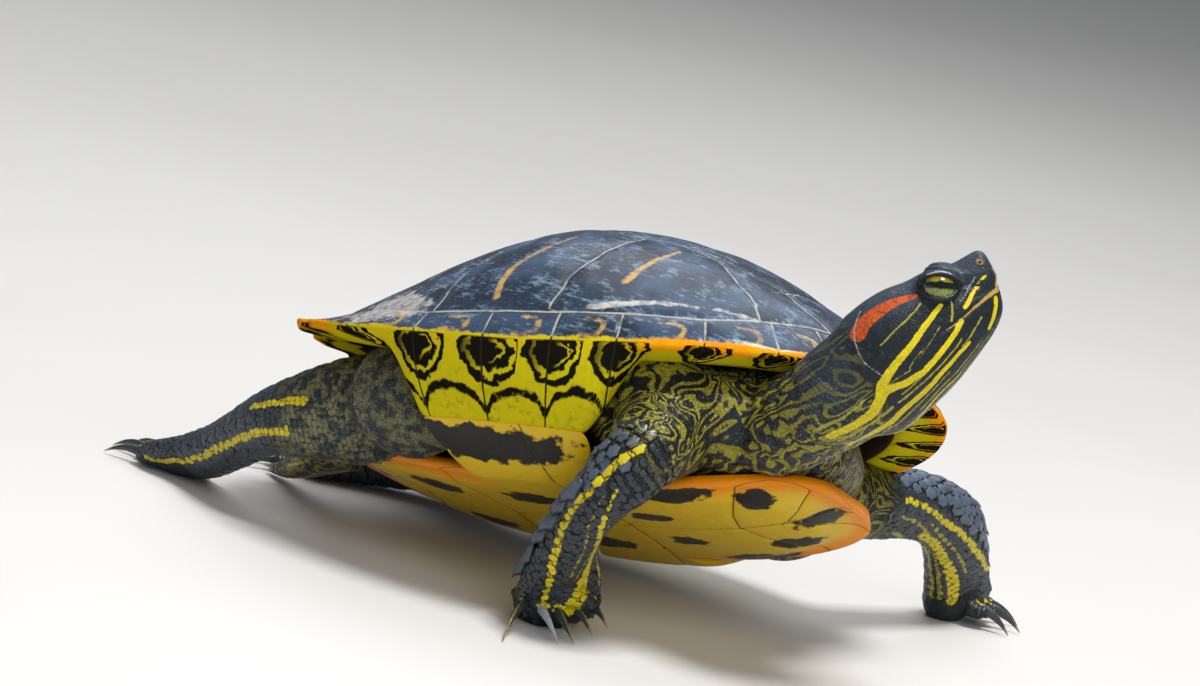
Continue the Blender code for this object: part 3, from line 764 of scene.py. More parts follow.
@dataclass
class Carapace:
    """The upper shell: dome, rim, marked underside of the rim and inner dome."""

    steps: int = 250
    plan: ShieldPlan = ShieldPlan()
    under_rows: int = 16
    groove: float = 0.42
    swell: float = 0.55
    ocellus_half_width: float = 7.2
    ocellus_half_height: float = 8.0
    ocellus_below_rim: float = 4.6

    def side_marks(self) -> list[Line]:
        """The pale bars on the side shields of both sides.

        Returns:
            One line for each bar.
        """
        bars = (
            (((-7, 70), (-9, 63), (-6, 55), (-1, 45)), 1.1, 0.5),
            (((27, 60), (28.5, 50), (30, 39)), 1.2, 0.5),
            (((-41, 52), (-42, 46), (-40, 38)), 0.5, 0.3),
        )
        lines = []
        for places, start, end in bars:
            for side in (1, -1):
                flat = np.array([(x, y * side, 0.0) for x, y in places])
                angle, share = SHELL.polar(flat)
                lines.append(Line(tuple(map(tuple, SHELL.upper(angle, share))), start, end))
        return lines

    def rim_marks(self) -> list[Line]:
        """A pale curl on the upper side of each marginal shield.

        Returns:
            One line for each curl.
        """
        lines = []
        seams = (-4.0, *self.plan.marginal_seams)
        for low, high in zip(seams[1:], seams[2:]):
            edge = 0.5 * float(np.interp((low + high) / 2, *np.array(self.plan.marginal_edge).T)) + 0.5
            for side in (1, -1):
                turns = np.radians(mixed(low, high, np.array([0.62, 0.3, 0.28, 0.55]))) * side
                shares = np.array([1.0, 0.996, edge, edge - 0.006])
                lines.append(Line(tuple(map(tuple, SHELL.upper(turns, shares))), 0.9, 0.5))
        return lines

    def worn(self, places: Points) -> Points:
        """How chalky and scuffed places are.

        Args:
            places: Places, one a row.

        Returns:
            A share from 0 to 1.
        """
        chalk = 0.82 * smooth(lengths((places - (-45, -64, 8)) / (25, 16, 13)), 1.1, 0.3)
        peeled = Line(((22, -69, 12), (40, -61, 16.5), (64, -48.5, 18)), 1.0, 0.7).distance(places)
        return np.maximum(chalk, smooth(peeled, 1.2, -0.8))

    def glow(self, angle: Points) -> Points:
        """How many millimetres of the rim's upper side are orange: most at the rear, none at the sides."""
        turn = np.degrees(np.abs(angle))
        return -1.6 + 5.4 * smooth(turn, 118, 150) + 2.2 * smooth(turn, 76, 58)

    def dome(self, grid: DiscGrid) -> tuple[Points, dict[str, Points]]:
        """The outer dome.

        Args:
            grid: The grid that it is bent from.

        Returns:
            Its points, and the values that go with them.
        """
        angle, share = grid.polar()
        places = SHELL.upper(angle, share)
        back, marginal, sides = self.plan.rows_field(angle, share, places)
        cross = self.plan.cross_field(angle, places, back, marginal)
        below = surface_distance(share - 1.0, places)
        away = np.minimum(np.abs(sides), np.abs(cross))
        flat = places.reshape(-1, 3)
        lift = self.swell * (1 - np.exp(-away / 5.0)) - self.groove * np.exp(-((away / 0.75) ** 2))
        lift += 0.28 * layered_noise(flat, 17.0, 3).reshape(away.shape)
        lift *= smooth(-below, 0.0, 2.0)
        normals = -grid_normals(places)
        normals *= np.sign(normals[..., 2:3] + 1e-9)
        moved = places + normals * lift[..., None]
        marks = nearest_line(self.side_marks() + self.rim_marks(), flat)
        values = {
            "rows": sides.ravel(),
            "cross": cross.ravel(),
            "below": np.clip(below, -40, 0).ravel(),
            "glow": self.glow(angle).ravel(),
            "fore": np.zeros(len(flat)),
            "arc": np.full(len(flat), 9.0),
            "ocellus": np.full(len(flat), 3.0),
            "mark": marks,
            "worn": self.worn(flat),
        }
        return moved.reshape(-1, 3), values

    def under_rings(self, turns: Points) -> tuple[list[Points], list[dict[str, Points]]]:
        """The rings from the rim's edge down its underside and back up inside.

        Args:
            turns: The angles of the border's points.

        Returns:
            The rings' points, and the values of each ring.
        """
        edge = np.array([0, 0, SHELL.edge])
        rim, lip = SHELL.rim(turns), SHELL.lip(turns)
        low = rim * (0.995, 0.995, 1.0) - edge
        rings = [mixed(rim, low, 0.5) * (1.002, 1.002, 1.0)]
        for i in range(self.under_rows):
            share = i / (self.under_rows - 1)
            ring = mixed(low, lip, share)
            out = units(ring * (1, 1, 0))
            ring = ring + out * (1.6 * math.sin(math.pi * share) * SHELL.on_bridge(turns))[:, None]
            rings.append(ring)
        marked = len(rings)
        inner = lip * (1 - SHELL.wall / lengths(lip[:, :2]))[:, None]
        inner[:, 2] = lip[:, 2]
        rings.append(inner)
        for share in (0.84, 0.74, 0.55, 0.3, 0.02):
            over = SHELL.upper(turns, np.full(len(turns), share * 0.9 + 0.02))
            over[:, :2] *= np.minimum(1.0, lengths(inner[:, :2]) / lengths(over[:, :2]) * 0.98)[:, None]
            over[:, 2] -= SHELL.wall * 1.2
            rings.append(over)
        seams = np.radians(np.array(self.plan.marginal_seams))
        radius = lengths(rim[:, :2])
        aside = sawtooth(np.abs(turns), list(seams)) * radius
        near = seams[np.abs(np.abs(turns)[:, None] - seams[None, :]).argmin(1)]
        way = np.sign(np.abs(turns) - near) * np.sign(np.sin(turns) + 1e-9)
        values, travelled = [], np.zeros(len(turns))
        for i, ring in enumerate(rings):
            travelled = travelled + (lengths(ring - rings[i - 1]) if i else lengths(ring - rim))
            down = (travelled - self.ocellus_below_rim) / self.ocellus_half_height
            tail = np.where(down > 0, 1.0 + 0.35 * down, 1.0)
            fore = -np.sign(np.sin(turns) + 1e-9) * way * np.abs(aside)
            wide = signed_power(np.abs(fore - 1.5) * tail / self.ocellus_half_width, 1.2)
            eye = np.hypot(wide, np.where(down > 0, down * 0.8, down))
            outward = np.clip(1.0 - np.abs(aside) / 7.5, 0.0, 1.0)
            level = 15.6 + 3.6 * outward**1.4 + 3.0 * smooth(outward, 0.7, 0.95)
            values.append({
                "rows": np.full(len(turns), -20.0),
                "cross": aside,
                "below": travelled if i < marked else np.full(len(turns), 60.0),
                "glow": self.glow(turns),
                "fore": fore,
                "arc": np.where(SHELL.on_bridge(turns) > 0.5, np.abs(travelled - level), 9.0),
                "ocellus": np.minimum(eye, 3.0),
                "mark": np.full(len(turns), 30.0),
                "worn": np.zeros(len(turns)),
            })
        return rings, values

    def build(self, finish: bpy.types.Material) -> None:
        """Makes the upper shell.

        Args:
            finish: Its material.
        """
        grid = DiscGrid(self.steps)
        outer, values = self.dome(grid)
        turns = grid.polar()[0].ravel()[grid.border()]
        rings, ring_values = self.under_rings(turns)
        points, faces = closed_plate(grid, outer, rings)
        merged = {key: np.concatenate([values[key], *(v[key] for v in ring_values)]) for key in values}
        Shape(SHELL_PLACE.out(points), faces, merged).build("upper_shell", finish, "carapace")


@dataclass
class Plastron:
    """The lower shell: its marked outer face, and a plain inner one."""

    steps: int = 190
    groove: float = 0.35
    # Seams on one side, each from the midline outwards as (distance from the midline, x).
    seams: tuple[tuple[tuple[float, float], ...], ...] = (
        ((0, -58), (12, -60), (24, -66), (36, -70)),
        ((0, -27), (20, -30), (36, -34), (64, -40)),
        ((0, 12), (25, 11), (48, 8), (66, 4)),
        ((0, 47), (11, 50), (30, 59), (38, 63)),
        ((0, 61), (7, 68), (16, 75), (26, 80)),
    )
    # Dark blotches as (x, y, half length, half width).
    blotches: tuple[tuple[float, float, float, float], ...] = (
        (41, -31, 12, 4.6), (71, 4, 8.5, 4.6), (57, 17.5, 8.5, 4.4), (61.5, -21.5, 4.6, 6.5), (40, 31, 11, 5),
        (-10, -55.5, 29, 5.4), (-10, 55.5, 29, 5.4), (-8, -22, 10, 6), (-8, 22, 10, 6),
        (-44, -19, 8, 6), (-44, 19, 8, 6), (-73, -9, 6, 4), (-73, 9, 6, 4), (24, -12, 6, 4), (24, 12, 6, 4),
    )

    def seam_field(self, places: Points) -> Points:
        """The seams between the shields of the belly.

        Args:
            places: Places, one a row.

        Returns:
            The signed distance to the nearest seam.
        """
        x, y = places[..., 0], np.abs(places[..., 1])
        rows = [np.interp(y, *np.array(seam, float).T) for seam in self.seams]
        cross = surface_distance(sawtooth(x, rows), places)
        middle = places[..., 1] + 0.6 * np.sin(x / 9.0)
        return np.where(np.abs(middle) < np.abs(cross), middle, cross)

    def blotch_field(self, places: Points) -> Points:
        """The dark blotches.

        Args:
            places: Places, one a row.

        Returns:
            Millimetres outside the nearest blotch, negative inside.
        """
        best = np.full(places.shape[:-1], 20.0)
        for x, y, long, wide in self.blotches:
            reach = np.hypot((places[..., 0] - x) / long, (places[..., 1] - y) / wide)
            best = np.minimum(best, (reach - 1) * min(long, wide))
        return best

    def build(self, finish: bpy.types.Material) -> None:
        """Makes the lower shell.

        Args:
            finish: Its material.
        """
        grid = DiscGrid(self.steps)
        angle, share = grid.polar()
        places = SHELL.plastron(angle, share)
        seam = self.seam_field(places)
        normals = grid_normals(places)
        normals *= -np.sign(normals[..., 2:3] + 1e-9)
        lift = 0.2 * (1 - np.exp(-np.abs(seam) / 3)) - self.groove * np.exp(-((seam / 0.7) ** 2))
        lift *= smooth(share, 1.0, 0.96)
        outer = places + normals * (lift - 0.15)[..., None]
        turns = angle.ravel()[grid.border()]
        rings = []
        for inner_share in (0.985, 0.94, 0.8, 0.5, 0.03):
            ring = SHELL.plastron(turns, np.full(len(turns), inner_share))
            edge_share = max(inner_share - 0.3, 0.0) / 0.64
            raised = ring[:, 2] + mixed(5.0, 4.0, edge_share)
            capped = np.minimum(raised + 3.0 * edge_share, SHELL.plastron_edge(turns)[:, 2])
            ring[:, 2] = np.where(SHELL.on_bridge(turns) > 0.5, capped, raised)
            rings.append(ring)
        points, faces = closed_plate(grid, outer.reshape(-1, 3), rings)
        spare = len(points) - len(outer.reshape(-1, 3))
        edge = surface_distance(1.0 - share, places) + 24.0 * SHELL.on_bridge(angle)
        values = {
            "seam": np.concatenate([seam.ravel(), np.full(spare, 9.0)]),
            "blotch": np.concatenate([self.blotch_field(places).ravel(), np.full(spare, 9.0)]),
            "edge": np.concatenate([np.clip(edge, 0, 60).ravel(), np.zeros(spare)]),
        }
        Shape(SHELL_PLACE.out(points), faces, values).build("lower_shell", finish, "plastron")


# Flesh: a skin over lofts along lines of stations. A station is a centre, a half width and a half height.


HEAD_SECTIONS = (
    (0, 10.8, 0.5, 2.6), (1.2, 12.6, -4.2, 4.6), (4, 12.7, -7.6, 6.4), (8, 12.6, -10.4, 8.4),
    (12, 13.6, -12.4, 10), (16.5, 14.2, -14.6, 11.6), (22, 14.2, -17, 13.2), (28, 15, -19, 14.8),
    (34, 14.8, -20.6, 15.6), (40, 13.8, -22, 15.2), (46, 13, -23.4, 15),
)  # distance behind the snout, crown, throat, half width
NECK_STATIONS: tuple[Station, ...] = (
    ((91.5, -33, 93), 15.5, 16.5), ((89.5, -33, 87.5), 15.5, 15.5), ((84, -31.5, 82), 16, 14.5),
    ((75, -27, 76), 17.5, 14), ((63, -19, 70), 19, 15), ((48, -9, 64), 20, 17),
)
TAIL_STATIONS: tuple[Station, ...] = (
    ((-66, -8, 30), 13, 12), ((-82, -9, 24), 9.6, 9.6), ((-95, -6, 16), 6.8, 6.8),
    ((-106, -1, 9), 4.6, 4.6), ((-116, 4, 4), 2.6, 2.8), ((-123, 6, 2.2), 1.3, 1.6),
)


class Limb(Enum):
    """The four legs."""

    FRONT_RIGHT = "front_right"
    FRONT_LEFT = "front_left"
    HIND_RIGHT = "hind_right"
    HIND_LEFT = "hind_left"

    @property
    def is_front(self) -> bool:
        """True for a foreleg."""
        return self.value.startswith("front")


LEG_STATIONS: dict[Limb, tuple[Station, ...]] = {
    Limb.FRONT_RIGHT: (
        ((40, -34, 66), 16, 15), ((45, -50, 64), 13.5, 13.5), ((46, -60, 58), 10.5, 11),
        ((42, -63.5, 50.5), 8.8, 10.2), ((35.5, -62, 41.5), 8, 10.4), ((28.5, -57.5, 31), 7.6, 11.6),
        ((23, -52, 20.5), 7.4, 12.8), ((21, -47.5, 11.5), 7, 13.2), ((21, -47, 6.5), 7.6, 13.4),
        ((24, -49.5, 3.4), 4, 11.4),
    ),
    Limb.FRONT_LEFT: (
        ((44, 30, 44), 15, 15), ((52, 50, 42), 13, 13), ((57, 68, 40.5), 10.5, 11),
        ((61, 84, 38.5), 8.8, 10.2), ((63, 97, 33), 8, 10.4), ((61.5, 107, 24), 7.6, 10.8),
        ((59.5, 115, 15), 7.2, 11.4), ((58.5, 120, 8), 7.4, 11.6), ((59.5, 124.5, 3.6), 4.2, 10.8),
    ),
    Limb.HIND_RIGHT: (
        ((-44, -30, 45), 18, 17), ((-62, -43, 40), 15, 16), ((-79, -49, 33.5), 10.5, 12),
        ((-90, -47.5, 28), 9, 9.4), ((-101, -43, 20.5), 8.2, 8.2), ((-112, -38, 13.5), 8, 7.4),
        ((-121, -34.5, 8.8), 9, 6.2), ((-130, -31.5, 5), 10.8, 4.8), ((-138, -28.5, 3.2), 9.5, 3.4),
    ),
    Limb.HIND_LEFT: (
        ((-42, 26, 28), 17, 14), ((-60, 40, 20), 13, 12), ((-75, 45, 14), 10.5, 11),
        ((-87, 43, 12), 9, 9.6), ((-99, 37, 10), 8.4, 8.8), ((-109, 31, 7), 9.4, 6.6),
        ((-118, 25.5, 4.4), 11, 4.6), ((-126, 20.5, 3), 9.5, 3.2),
    ),
}
# Toes: root, middle joint and tip of the flesh, then the claw's tip.
TOES: dict[Limb, tuple[tuple[Point, Point, Point, Point], ...]] = {
    Limb.FRONT_RIGHT: (
        ((19.5, -51, 6), (17.5, -56.5, 5.6), (17.5, -60.5, 5), (27.5, -80.5, 0.5)),
        ((21, -51, 5.5), (22, -56, 5.4), (23.5, -59, 4.6), (35, -63.5, 0.5)),
        ((24, -49, 5.5), (25.5, -53.5, 5.4), (27, -55.5, 4.6), (37, -58.5, 0.5)),
        ((26.5, -45, 5.5), (28.5, -48, 5.8), (30, -49.5, 6.2), (37, -50, 2.5)),
        ((27, -40, 6), (29.5, -42.5, 7), (31.5, -43.5, 8), (38, -44.5, 4.5)),
    ),
    Limb.FRONT_LEFT: (
        ((65, 116, 6), (69.5, 118.5, 5.4), (72, 120, 4.2), (78, 121.5, 0.5)),
        ((64, 121, 5.5), (68.5, 124.5, 5.2), (71, 126.5, 4.2), (77.5, 130, 0.5)),
        ((61.5, 124.5, 5.5), (65, 129, 5.2), (67, 132, 4.2), (72, 138, 0.5)),
        ((58, 126.5, 5.5), (60, 132, 5.2), (61, 135, 4.2), (65, 143.5, 0.5)),
        ((54, 126.5, 5.5), (54, 132, 5), (54, 135, 4.2), (54.5, 143, 0.5)),
    ),
    Limb.HIND_RIGHT: (
        ((-135, -21.5, 4), (-141.5, -18.5, 3.6), (-144.5, -17.5, 3.2), (-153, -13.5, 0.8)),
        ((-137, -26, 4), (-145, -23, 3.6), (-148.5, -22, 3.2), (-158.5, -19, 0.8)),
        ((-137, -31, 4), (-145, -29.5, 3.6), (-148.5, -28.5, 3.2), (-159, -27.5, 0.8)),
        ((-134.5, -36, 4), (-141.5, -36, 3.6), (-145, -36, 3.2), (-154.5, -37, 0.8)),
    ),
    Limb.HIND_LEFT: (
        ((-120, 29, 4), (-127, 28, 3.6), (-130, 27, 3.2), (-138.5, 25.5, 0.8)),
        ((-122.5, 25, 4), (-130.5, 21.5, 3.6), (-133.5, 20, 3.2), (-142, 17, 0.8)),
        ((-123, 20.5, 4), (-130, 15.5, 3.6), (-133, 13.5, 3.2), (-140.5, 9, 0.8)),
        ((-120, 16.5, 4), (-124.5, 11, 3.6), (-127, 8.5, 3.2), (-132.5, 3.5, 0.8)),
    ),
}
LEG_UP = np.array([0.35, 0.2, 1.0])


@dataclass(frozen=True)
class Tube:
    """A loft along a line of stations, with superellipse sections, and the coordinates that follow it."""

    stations: tuple[Station, ...]
    up: tuple[float, float, float] = (0.0, 0.0, 1.0)
    squareness: float = 2.0
    facing: tuple[float, float, float] | None = None
    steps: int = 6

    def line(self) -> Points:
        """Rows of centre, half width and half height along the smooth line."""
        return smooth_rows(np.array([(*c, across, high) for c, across, high in self.stations]), self.steps)

    def axes(self, rows: Points) -> tuple[Points, Points, Points]:
        """The ways that go with each row of the line.

        Args:
            rows: The line's rows.

        Returns:
            The ways ahead, to the side and over.
        """
        if self.facing is None:
            ahead = units(np.gradient(rows[:, :3], axis=0))
        else:
            ahead = np.repeat(units(np.array(self.facing, float)[None]), len(rows), 0)
        side = units(np.cross(np.array(self.up, float)[None], ahead))
        return ahead, side, np.cross(ahead, side)

    def shape(self, sides: int = 40) -> Shape:
        """The closed tube.

        Args:
            sides: How many points go round it.

        Returns:
            Its surface.
        """
        rows = self.line()
        _, side, over = self.axes(rows)
        turn = np.arange(sides) * 2 * math.pi / sides
        across = signed_power(np.cos(turn), 2 / self.squareness)[None, :, None] * rows[:, 3, None, None]
        high = signed_power(np.sin(turn), 2 / self.squareness)[None, :, None] * rows[:, 4, None, None]
        points = rows[:, None, :3] + side[:, None] * across + over[:, None] * high
        return Shape(points.reshape(-1, 3), tube_faces(len(rows), sides))

    def coordinates(self, places: Points) -> tuple[Points, Points, Points]:
        """Where places lie along and around the tube.

        Args:
            places: Places of the model.

        Returns:
            Millimetres from the first station, the turn round the line, and the distance from the
            line as a share of the tube's half width.
        """
        rows = self.line()
        ahead, side, over = self.axes(rows)
        travelled = lengths_along(rows)
        gaps = np.stack([lengths(places - row[:3]) for row in rows], 1)
        nearest = gaps.argmin(1)
        away = places - rows[nearest, :3]
        along = travelled[nearest] + (away * ahead[nearest]).sum(1)
        turn = np.arctan2((away * over[nearest]).sum(1), (away * side[nearest]).sum(1))
        reach = gaps.min(1) / np.maximum(rows[nearest, 3:].max(1), 0.1)
        return along, turn, reach


def blob(centre: Point, radii: Point, placing: Placing, rows: int = 25, columns: int = 48) -> Shape:
    """An ellipsoid of flesh.

    Args:
        centre: Its middle, in the axes of the placing.
        radii: Its radii along those axes.
        placing: Where the axes lie in the model.
        rows: How many rings of points it has.
        columns: How many points each ring has.

    Returns:
        The closed surface.
    """
    pole = math.pi / 2 - POLE_GAP
    turn, rise = np.meshgrid(np.arange(columns) * 2 * math.pi / columns, np.linspace(-pole, pole, rows))
    ball = np.stack([np.cos(rise) * np.cos(turn), np.cos(rise) * np.sin(turn), np.sin(rise)], -1)
    points = placing.out(ball.reshape(-1, 3) * np.array(radii) + np.array(centre))
    return Shape(points, tube_faces(rows, columns))


def head_tube() -> Tube:
    """The head's loft, its sections square to its own axis.

    Returns:
        The tube.
    """
    stations = []
    for behind, crown, throat, half_width in HEAD_SECTIONS:
        centre = HEAD_PLACE.out(np.array([-behind, 0, (crown + throat) / 2]))
        stations.append((tuple(centre), half_width, (crown - throat) / 2))
    axes = HEAD_PLACE.axes
    return Tube(tuple(stations), tuple(axes[:, 2]), 2.25, tuple(-axes[:, 0]))


TUBES: dict[str, Tube] = {
    "head": head_tube(),
    "neck": Tube(NECK_STATIONS, (-1.0, 0.0, 0.6)),
    "tail": Tube(TAIL_STATIONS),
    **{limb.value: Tube(LEG_STATIONS[limb], tuple(LEG_UP), 2.1) for limb in Limb},
}
REGIONS = tuple(TUBES)
POLE_GAP = 0.02  # radians left open at the poles of a ball, and closed with a small cap
TOE_RADIUS = {True: 2.9, False: 3.0}  # by Limb.is_front
CLAW_RADIUS = {True: 1.55, False: 1.4}


def mesh_arrays(obj: bpy.types.Object) -> tuple[Points, list[Sequence[int]], Points]:
    """Reads an object's mesh after its modifiers.

    Args:
        obj: The object.

    Returns:
        The points in millimetres, the faces and the outward ways at the points.
    """
    graph = bpy.context.evaluated_depsgraph_get()
    graph.update()
    mesh = bpy.data.meshes.new_from_object(obj.evaluated_get(graph))
    flat = np.empty(len(mesh.vertices) * 3, dtype=np.float64)
    mesh.vertices.foreach_get("co", flat)
    ways = np.empty(len(mesh.vertices) * 3, dtype=np.float32)
    mesh.vertex_normals.foreach_get("vector", ways)
    faces = [tuple(p.vertices) for p in mesh.polygons]
    bpy.data.meshes.remove(mesh)
    return flat.reshape(-1, 3) / MM, faces, ways.reshape(-1, 3).astype(float)


def scratch_object(shape: Shape) -> bpy.types.Object:
    """Makes a temporary object for Blender's modifiers to work on.

    Args:
        shape: Its surface.

    Returns:
        The object, in metres.
    """
    mesh = bpy.data.meshes.new("scratch")
    mesh.from_pydata((shape.points * MM).tolist(), [], [list(f) for f in shape.faces])
    obj = bpy.data.objects.new("scratch", mesh)
    bpy.context.scene.collection.objects.link(obj)
    return obj


def discard(obj: bpy.types.Object) -> None:
    """Removes a temporary object and its mesh.

    Args:
        obj: The object.
    """
    mesh = obj.data
    bpy.data.objects.remove(obj, do_unlink=True)
    bpy.data.meshes.remove(mesh)


def finer(shape: Shape, chosen: Callable[[Points], Points]) -> Shape:
    """Cuts chosen quads into four.

    Args:
        shape: The surface.
        chosen: Says for each place whether it is chosen; a quad is when its corners are.

    Returns:
        The finer surface.
    """
    obj = scratch_object(shape)
    bm = bmesh.new()
    bm.from_mesh(obj.data)
    picked = chosen(shape.points)
    edges = [e for e in bm.edges if picked[e.verts[0].index] and picked[e.verts[1].index]]
    bmesh.ops.subdivide_edges(bm, edges=edges, cuts=1, use_grid_fill=True, smooth=1.0)
    bm.verts.index_update()
    points = np.array([v.co[:] for v in bm.verts]) / MM
    faces = [tuple(v.index for v in f.verts) for f in bm.faces]
    bm.free()
    discard(obj)
    return Shape(points, faces)


def relaxed(shape: Shape, share: Points, rounds: int) -> Points:
    """The points of a closed surface, evened out with their neighbours.

    Args:
        shape: The surface.
        share: How freely each point moves, from 0 to 1.
        rounds: How often it is done.

    Returns:
        The moved points.
    """
    points = shape.points.copy()
    moving = share > 0.01
    pairs = [(a, b) for face in shape.faces for a, b in zip(face, (*face[1:], face[0])) if moving[a]]
    here, there = np.array(pairs).T
    count = np.maximum(np.bincount(here, minlength=len(points)), 1)[:, None]
    for _ in range(rounds):
        total = np.stack([np.bincount(here, points[there, axis], len(points)) for axis in range(3)], 1)
        points = np.where(moving[:, None], mixed(points, total / count, 0.6 * share[:, None]), points)
    return points


# Each mark is its half width at the start and at the end, then points close to the surface.
Mark = tuple[float, float, tuple[Point, ...]]
# Marks of the head and the neck, in the head's axes for the left side; each is made on both sides.
HEAD_MARKS: dict[str, tuple[Mark, ...]] = {
    "stripe": (
        (0.6, 1.05, ((-15.5, 11, 4), (-18, 12, 3), (-22, 13, 1), (-28, 14, -2), (-33, 15, -4))),
        (1.05, 1.5, ((-33, 15, -4), (-37, 15, -6), (-40, 15, -8), (-42, 15, -11))),
        (0.75, 0.85, ((-13, 9, -2.5), (-17, 10.5, -5), (-22, 12, -7.5), (-28, 13, -9.5))),
        (0.85, 1.3, ((-28, 13, -9.5), (-34, 14, -10), (-39, 15, -9.5), (-42, 14.5, -11))),
        (1.5, 1.2, ((-42, 14.5, -11), (-46, 14, -14), (-52, 13, -15), (-60, 11, -15))),
        (0.5, 0.9, ((-14, 8, -8.5), (-19, 9, -10), (-25, 10.5, -12.5), (-31, 11.5, -15))),
        (0.9, 1.0, ((-31, 11.5, -15), (-38, 12, -17), (-46, 9, -19), (-56, 4, -20))),
        (0.35, 0.7, ((-20, 5, -15), (-28, 7, -18), (-36, 4, -21), (-44, 2, -22.5))),
        (0.3, 0.62, ((-1.9, 4.2, 5.4), (-4, 5.4, 4.2), (-6.1, 6.6, 3.2), (-10.1, 8.9, 0.4))),
        (0.8, 0.65, ((-2.4, 3.6, -1.4), (-4, 4, -4.2), (-7.4, 4.6, -7.6))),
    ),
    "red": (
        (0.6, 2.2, ((-19.5, 10.8, 10.2), (-23, 10.6, 11), (-27, 11, 11.3), (-31, 11.4, 11.2))),
        (2.2, 2.8, ((-31, 11.4, 11.2), (-34, 12, 10.9), (-37, 12.4, 10.2), (-39, 12.8, 8.8))),
    ),
    "tan": (
        (0.6, 0.95, ((-0.3, 1.3, 6), (-0.2, 1.6, 3), (-0.8, 2.2, 0.6))),
        (0.66, 0.34, ((-0.8, 2.6, 0.6), (-4, 5.8, 0.2), (-8, 8, -0.8))),
        (0.32, 0.14, ((-8, 8, -0.8), (-12, 9.5, -2), (-17, 11, -2.6))),
        (1.6, 1.6, ((-1.5, 3, 8.9), (-1.4, 3, 8.9))),
    ),
    "fine": (
        (0.28, 0.2, ((-20, 11.6, 7.4), (-24, 12.6, 5.4), (-29, 14, 4), (-35, 15, 2))),
        (0.28, 0.3, ((-12.5, 10, 3.6), (-13.6, 10.4, 1), (-15, 11, -1))),
        (0.22, 0.35, ((-10, 5.8, -10.4), (-18, 6.6, -13), (-26, 8.4, -16), (-34, 8, -19))),
        (0.2, 0.3, ((-15, 9.6, -6.8), (-21, 11, -9.6), (-29, 12.4, -12), (-38, 13, -14))),
        (0.25, 0.4, ((-12, 3, -12.6), (-22, 3.4, -16.4), (-32, 3, -20), (-42, 0.5, -23))),
        (0.14, 0.1, ((-25, 13.5, -4), (-28, 14, -5.4), (-31, 14.4, -7))),
        (0.3, 0.2, ((-8, 6.6, -4), (-12, 7.6, -6.4), (-16, 8.6, -8.4))),
        (0.2, 0.35, ((-22, 9.4, -13.4), (-30, 10.6, -16.6), (-38, 9.6, -18.6), (-46, 6.6, -20))),
        (0.14, 0.1, ((-18, 13, -1), (-22, 13.6, -3.2), (-27, 14.2, -5.8))),
        (0.16, 0.12, ((-31, 14.6, -7.6), (-36, 14.8, -8), (-40, 14.6, -9))),
        (0.4, 0.6, ((-40, 13.4, -14.8), (-48, 12.4, -17), (-58, 9, -17.6))),
        (0.3, 0.6, ((-46, 13.4, -9), (-53, 13.6, -10.6), (-62, 12, -11))),
        (0.22, 0.4, ((-24, 6.4, -15.4), (-32, 6, -18.6), (-40, 4.4, -21), (-50, 1.4, -22))),
        (0.22, 0.2, ((-6, 3.4, -9), (-12, 4.6, -11.4), (-20, 5.4, -14))),
        (0.18, 0.26, ((-23, 12.2, -8.6), (-30, 13.4, -11), (-36, 14, -12.6))),
    ),
    "pale": (
        (0.24, 0.12, ((-36, 7.5, 12.8), (-39.5, 10.5, 9), (-41, 13, 5), (-41, 15, 0), (-38, 15, -6))),
        # A painted highlight along the upper lid.
        (0.3, 0.16, ((-9.0, 11.6, 10.6), (-11.5, 12.4, 12.6), (-15, 12.2, 13.2))),
        (0.16, 0.12, ((-7.5, 7.5, 3.8), (-9.5, 8.4, 2.8), (-10.5, 9, 2.6))),
        (0.18, 0.12, ((-4.6, 4.6, 6.2), (-6.4, 6, 5), (-7.6, 7, 4.4))),
    ),
}
